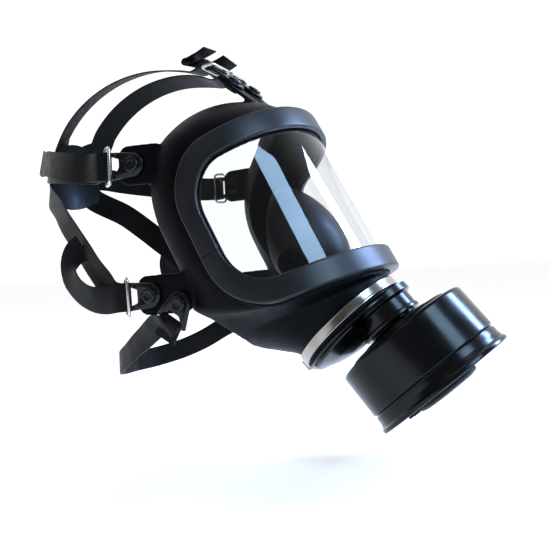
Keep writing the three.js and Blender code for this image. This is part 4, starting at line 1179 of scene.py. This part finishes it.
def build_strap(tab, side, sign):
    flip = np.array([-sign, 1, 1])
    fold = local(tab, sign, FOLD)
    outer = np.array(PATHS[tab]["outer"], float) * flip
    inner = np.array(PATHS[tab]["inner"], float) * flip
    points = spline(np.vstack([outer, fold, inner]), spacing=STEP)
    towards = strap_normal(tab, sign)
    turn_at = np.argmin(np.linalg.norm(points - fold[FOLD_OUT], axis=1))
    place = stud_frame(tab, sign)

    def wanted(i, along):
        # the strip turns over in the fold, so its sideways direction stays the link's there
        if abs(i - turn_at) < FOLD_STEPS:
            return place[:3, 1]
        return np.cross(towards(points[i]), along)

    sides = steady_sides(points, wanted, int(turn_at))
    strap = ribbon(f"{tab}_web_{side}", points, sides, STRAP_WIDTH, STRAP_THICK)
    finish_strap(strap, f"{tab}_strap_{side}")


NECK_PATH = [
    [-79.2, 45, -58.5], [-75.5, 53, -62.5], [-70, 64, -68.5], [-65, 76, -75], [-58, 91, -84],
    [-47, 108, -92], [-26, 122, -97], [0, 127, -98],
]
NECK_FOLD = [(30, -0.6), (19, -0.4), (14, -0.5), (12.2, 0.4), (11.6, 1.6), (12.2, 3.0), (14, 3.7),
             (18, 3.6)]


def build_neck_strap(side, sign):
    flip = np.array([-sign, 1, 1])
    place = stud_frame("neck", sign)
    fold = moved([(x, 0, z) for x, z in NECK_FOLD], place)
    path = np.array(NECK_PATH, float) * flip
    points = spline(np.vstack([fold, path]), spacing=STEP)

    def wanted(i, along):
        p = points[i]
        share = min(max((np.linalg.norm(p - place[:3, 3]) - 18) / 40, 0), 1)
        level = np.array([p[0], (p[1] - 50) * 0.9, 0])
        wide = unit(np.cross(unit(level), along))
        first = place[:3, 1] if place[:3, 1].dot(wide) > 0 else -place[:3, 1]
        return first * (1 - share) + wide * share

    sides = steady_sides(points, wanted, 0)
    strap = ribbon(f"neck_web_{side}", points, sides, NECK_WIDTH, NECK_THICK)
    finish_strap(strap, "neck_strap")


PAD = {"low": 46, "high": 108, "turn": 66, "lift": 2.6, "thick": 2.0}


def pad_column(share, v, lift):
    """A point of the pad: share runs across it and v up it, both from -1 to 1."""
    taper = 1 - 0.32 * share ** 2
    middle = (PAD["low"] + PAD["high"]) / 2
    z = middle + v * (PAD["high"] - PAD["low"]) / 2 * taper
    return round_head(90 + share * (90 - PAD["turn"]), z, lift)


def build_pad():
    thick = PAD["thick"]
    rings = []
    for share in np.linspace(-1, 1, 49):
        edge = 1 - max(0, (abs(share) - 0.9) / 0.1) ** 2 * 0.06
        ups = np.linspace(-edge, edge, 33)
        outer = [pad_column(share, v, PAD["lift"] + thick / 2 * (1 - 0.7 * abs(v / edge) ** 12))
                 for v in ups]
        inner = [pad_column(share, v, PAD["lift"] - thick / 2) for v in ups[::-1]]
        rings.append(outer + inner)
    vertices, faces = sweep(rings, False)
    pad = new_piece("rear_pad", vertices, faces, 60)
    layer = pad.data.uv_layers.new(name="StrapMap")
    for loop in pad.data.loops:
        p = np.array(pad.data.vertices[loop.vertex_index].co) / MM
        layer.data[loop.index].uv = (p[2], p[0])
    finish_piece(pad, MASK, web.material, "web", "head_pad")
    border = []
    for share, v in [*((s, 0.88) for s in np.linspace(-0.9, 0.9, 30)),
                     *((0.9, v) for v in np.linspace(0.88, -0.88, 30)),
                     *((s, -0.88) for s in np.linspace(0.9, -0.9, 30)),
                     *((-0.9, v) for v in np.linspace(-0.88, 0.88, 30))]:
        border.append(pad_column(share, v, PAD["lift"] + thick / 2))
    row = stitches("pad_stitches", border, from_head, 0.05)
    finish_piece(row, MASK, thread_black.material, "web")


for side, sign in SIDES:
    for tab in TABS:
        build_strap(tab, side, sign)
    build_neck_strap(side, sign)
build_pad()

# ---------------------------------------------------------------- what is carried over from the CAD

CARRIED = {
    "outlet_screen": steel, "inlet_screen": steel, "charcoal_bed": charcoal, "particle_filter": fibre,
}
for node, shader in CARRIED.items():
    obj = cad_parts[node]
    obj.data.materials.clear()
    obj.data.materials.append(shader.material)

# ---------------------------------------------------------------- floor, lights and camera

FLOOR_Z, FLOOR_HALF = -165, 60000


def build_stage():
    corners = [(x * FLOOR_HALF, y * FLOOR_HALF, FLOOR_Z)
               for x, y in ((-1, -1), (1, -1), (1, 1), (-1, 1))]
    floor = new_piece("floor", corners, [(0, 1, 2, 3)])
    shader = Shader("floor")
    tone = shader.ramp(shader.noise(3, 2), (0.80, 0.80, 0.80), (0.84, 0.84, 0.84))
    shader.set("Base Color", tone)
    shader.set("Roughness", 0.75)
    shader.set("Emission Color", (1.0, 1.0, 1.0, 1.0))
    shader.set("Emission Strength", 0.46)
    floor.data.materials.append(shader.material)


def area_light(name, at, size, power, colour=(1, 1, 1)):
    """A rectangular light that faces the object's middle."""
    light = bpy.data.lights.new(name, "AREA")
    light.shape = "RECTANGLE"
    light.size, light.size_y = size
    light.energy = power
    light.color = colour
    lamp = bpy.data.objects.new(name, light)
    lamp.location = at
    lamp.rotation_euler = (-Vector(at)).to_track_quat("-Z", "Y").to_euler()
    bpy.context.scene.collection.objects.link(lamp)


NEAR_LEVEL, FAR_LEVEL = 0.13, 1.15


def studio_world():
    """A soft white studio: bright behind the object as first seen, dimmer on the near side."""
    world = bpy.data.worlds.new("studio")
    world.use_nodes = True
    nodes, links = world.node_tree.nodes, world.node_tree.links
    place = nodes.new("ShaderNodeTexCoord")
    towards = nodes.new("ShaderNodeVectorMath")
    towards.operation = "DOT_PRODUCT"
    towards.inputs[1].default_value = (0.87, 0.48, 0.0)
    links.new(place.outputs["Generated"], towards.inputs[0])
    level = nodes.new("ShaderNodeMapRange")
    level.interpolation_type = "SMOOTHSTEP"
    level.inputs["From Min"].default_value = -0.35
    level.inputs["From Max"].default_value = 0.62
    level.inputs["To Min"].default_value = NEAR_LEVEL
    level.inputs["To Max"].default_value = FAR_LEVEL
    links.new(towards.outputs["Value"], level.inputs["Value"])
    background = nodes["Background"]
    background.inputs["Color"].default_value = (0.97, 0.985, 1.0, 1)
    links.new(level.outputs["Result"], background.inputs["Strength"])
    bpy.context.scene.world = world


def build_lights():
    studio_world()
    bpy.context.scene.view_settings.view_transform = "Standard"
    area_light("window", (-0.55, -1.5, 1.0), (0.62, 1.1), 27, (0.46, 0.70, 1.0))
    area_light("key", (-1.3, 0.1, 1.3), (1.0, 1.0), 1.6)
    area_light("canister_side", (0.85, -1.05, 0.75), (0.30, 0.7), 36, (0.36, 0.56, 1.0))
    area_light("back", (0.9, 1.2, 1.4), (1.2, 1.2), 4)


CAMERA_AT = Vector((-0.4651, -0.2404, -0.0220))
CAMERA_ROLL = math.radians(-2.5)
SENSOR_WIDTH, FOCAL_LENGTH = 36, 41.550545
SHIFT_X, SHIFT_Y = 0.032909091, -0.0543636364


def build_camera():
    data = bpy.data.cameras.new("camera")
    data.sensor_width = SENSOR_WIDTH
    data.lens = FOCAL_LENGTH
    data.shift_x = SHIFT_X
    data.shift_y = SHIFT_Y
    camera = bpy.data.objects.new("camera", data)
    back = CAMERA_AT.normalized()
    right = Vector((0, 0, 1)).cross(back).normalized()
    up = back.cross(right)
    c, s = math.cos(CAMERA_ROLL), math.sin(CAMERA_ROLL)
    right, up = right * c + up * s, up * c - right * s
    matrix = Matrix((right, up, back)).transposed().to_4x4()
    matrix.translation = CAMERA_AT
    camera.matrix_world = matrix
    data.clip_start = 0.01
    bpy.context.scene.collection.objects.link(camera)
    bpy.context.scene.camera = camera


build_stage()
build_lights()
build_camera()
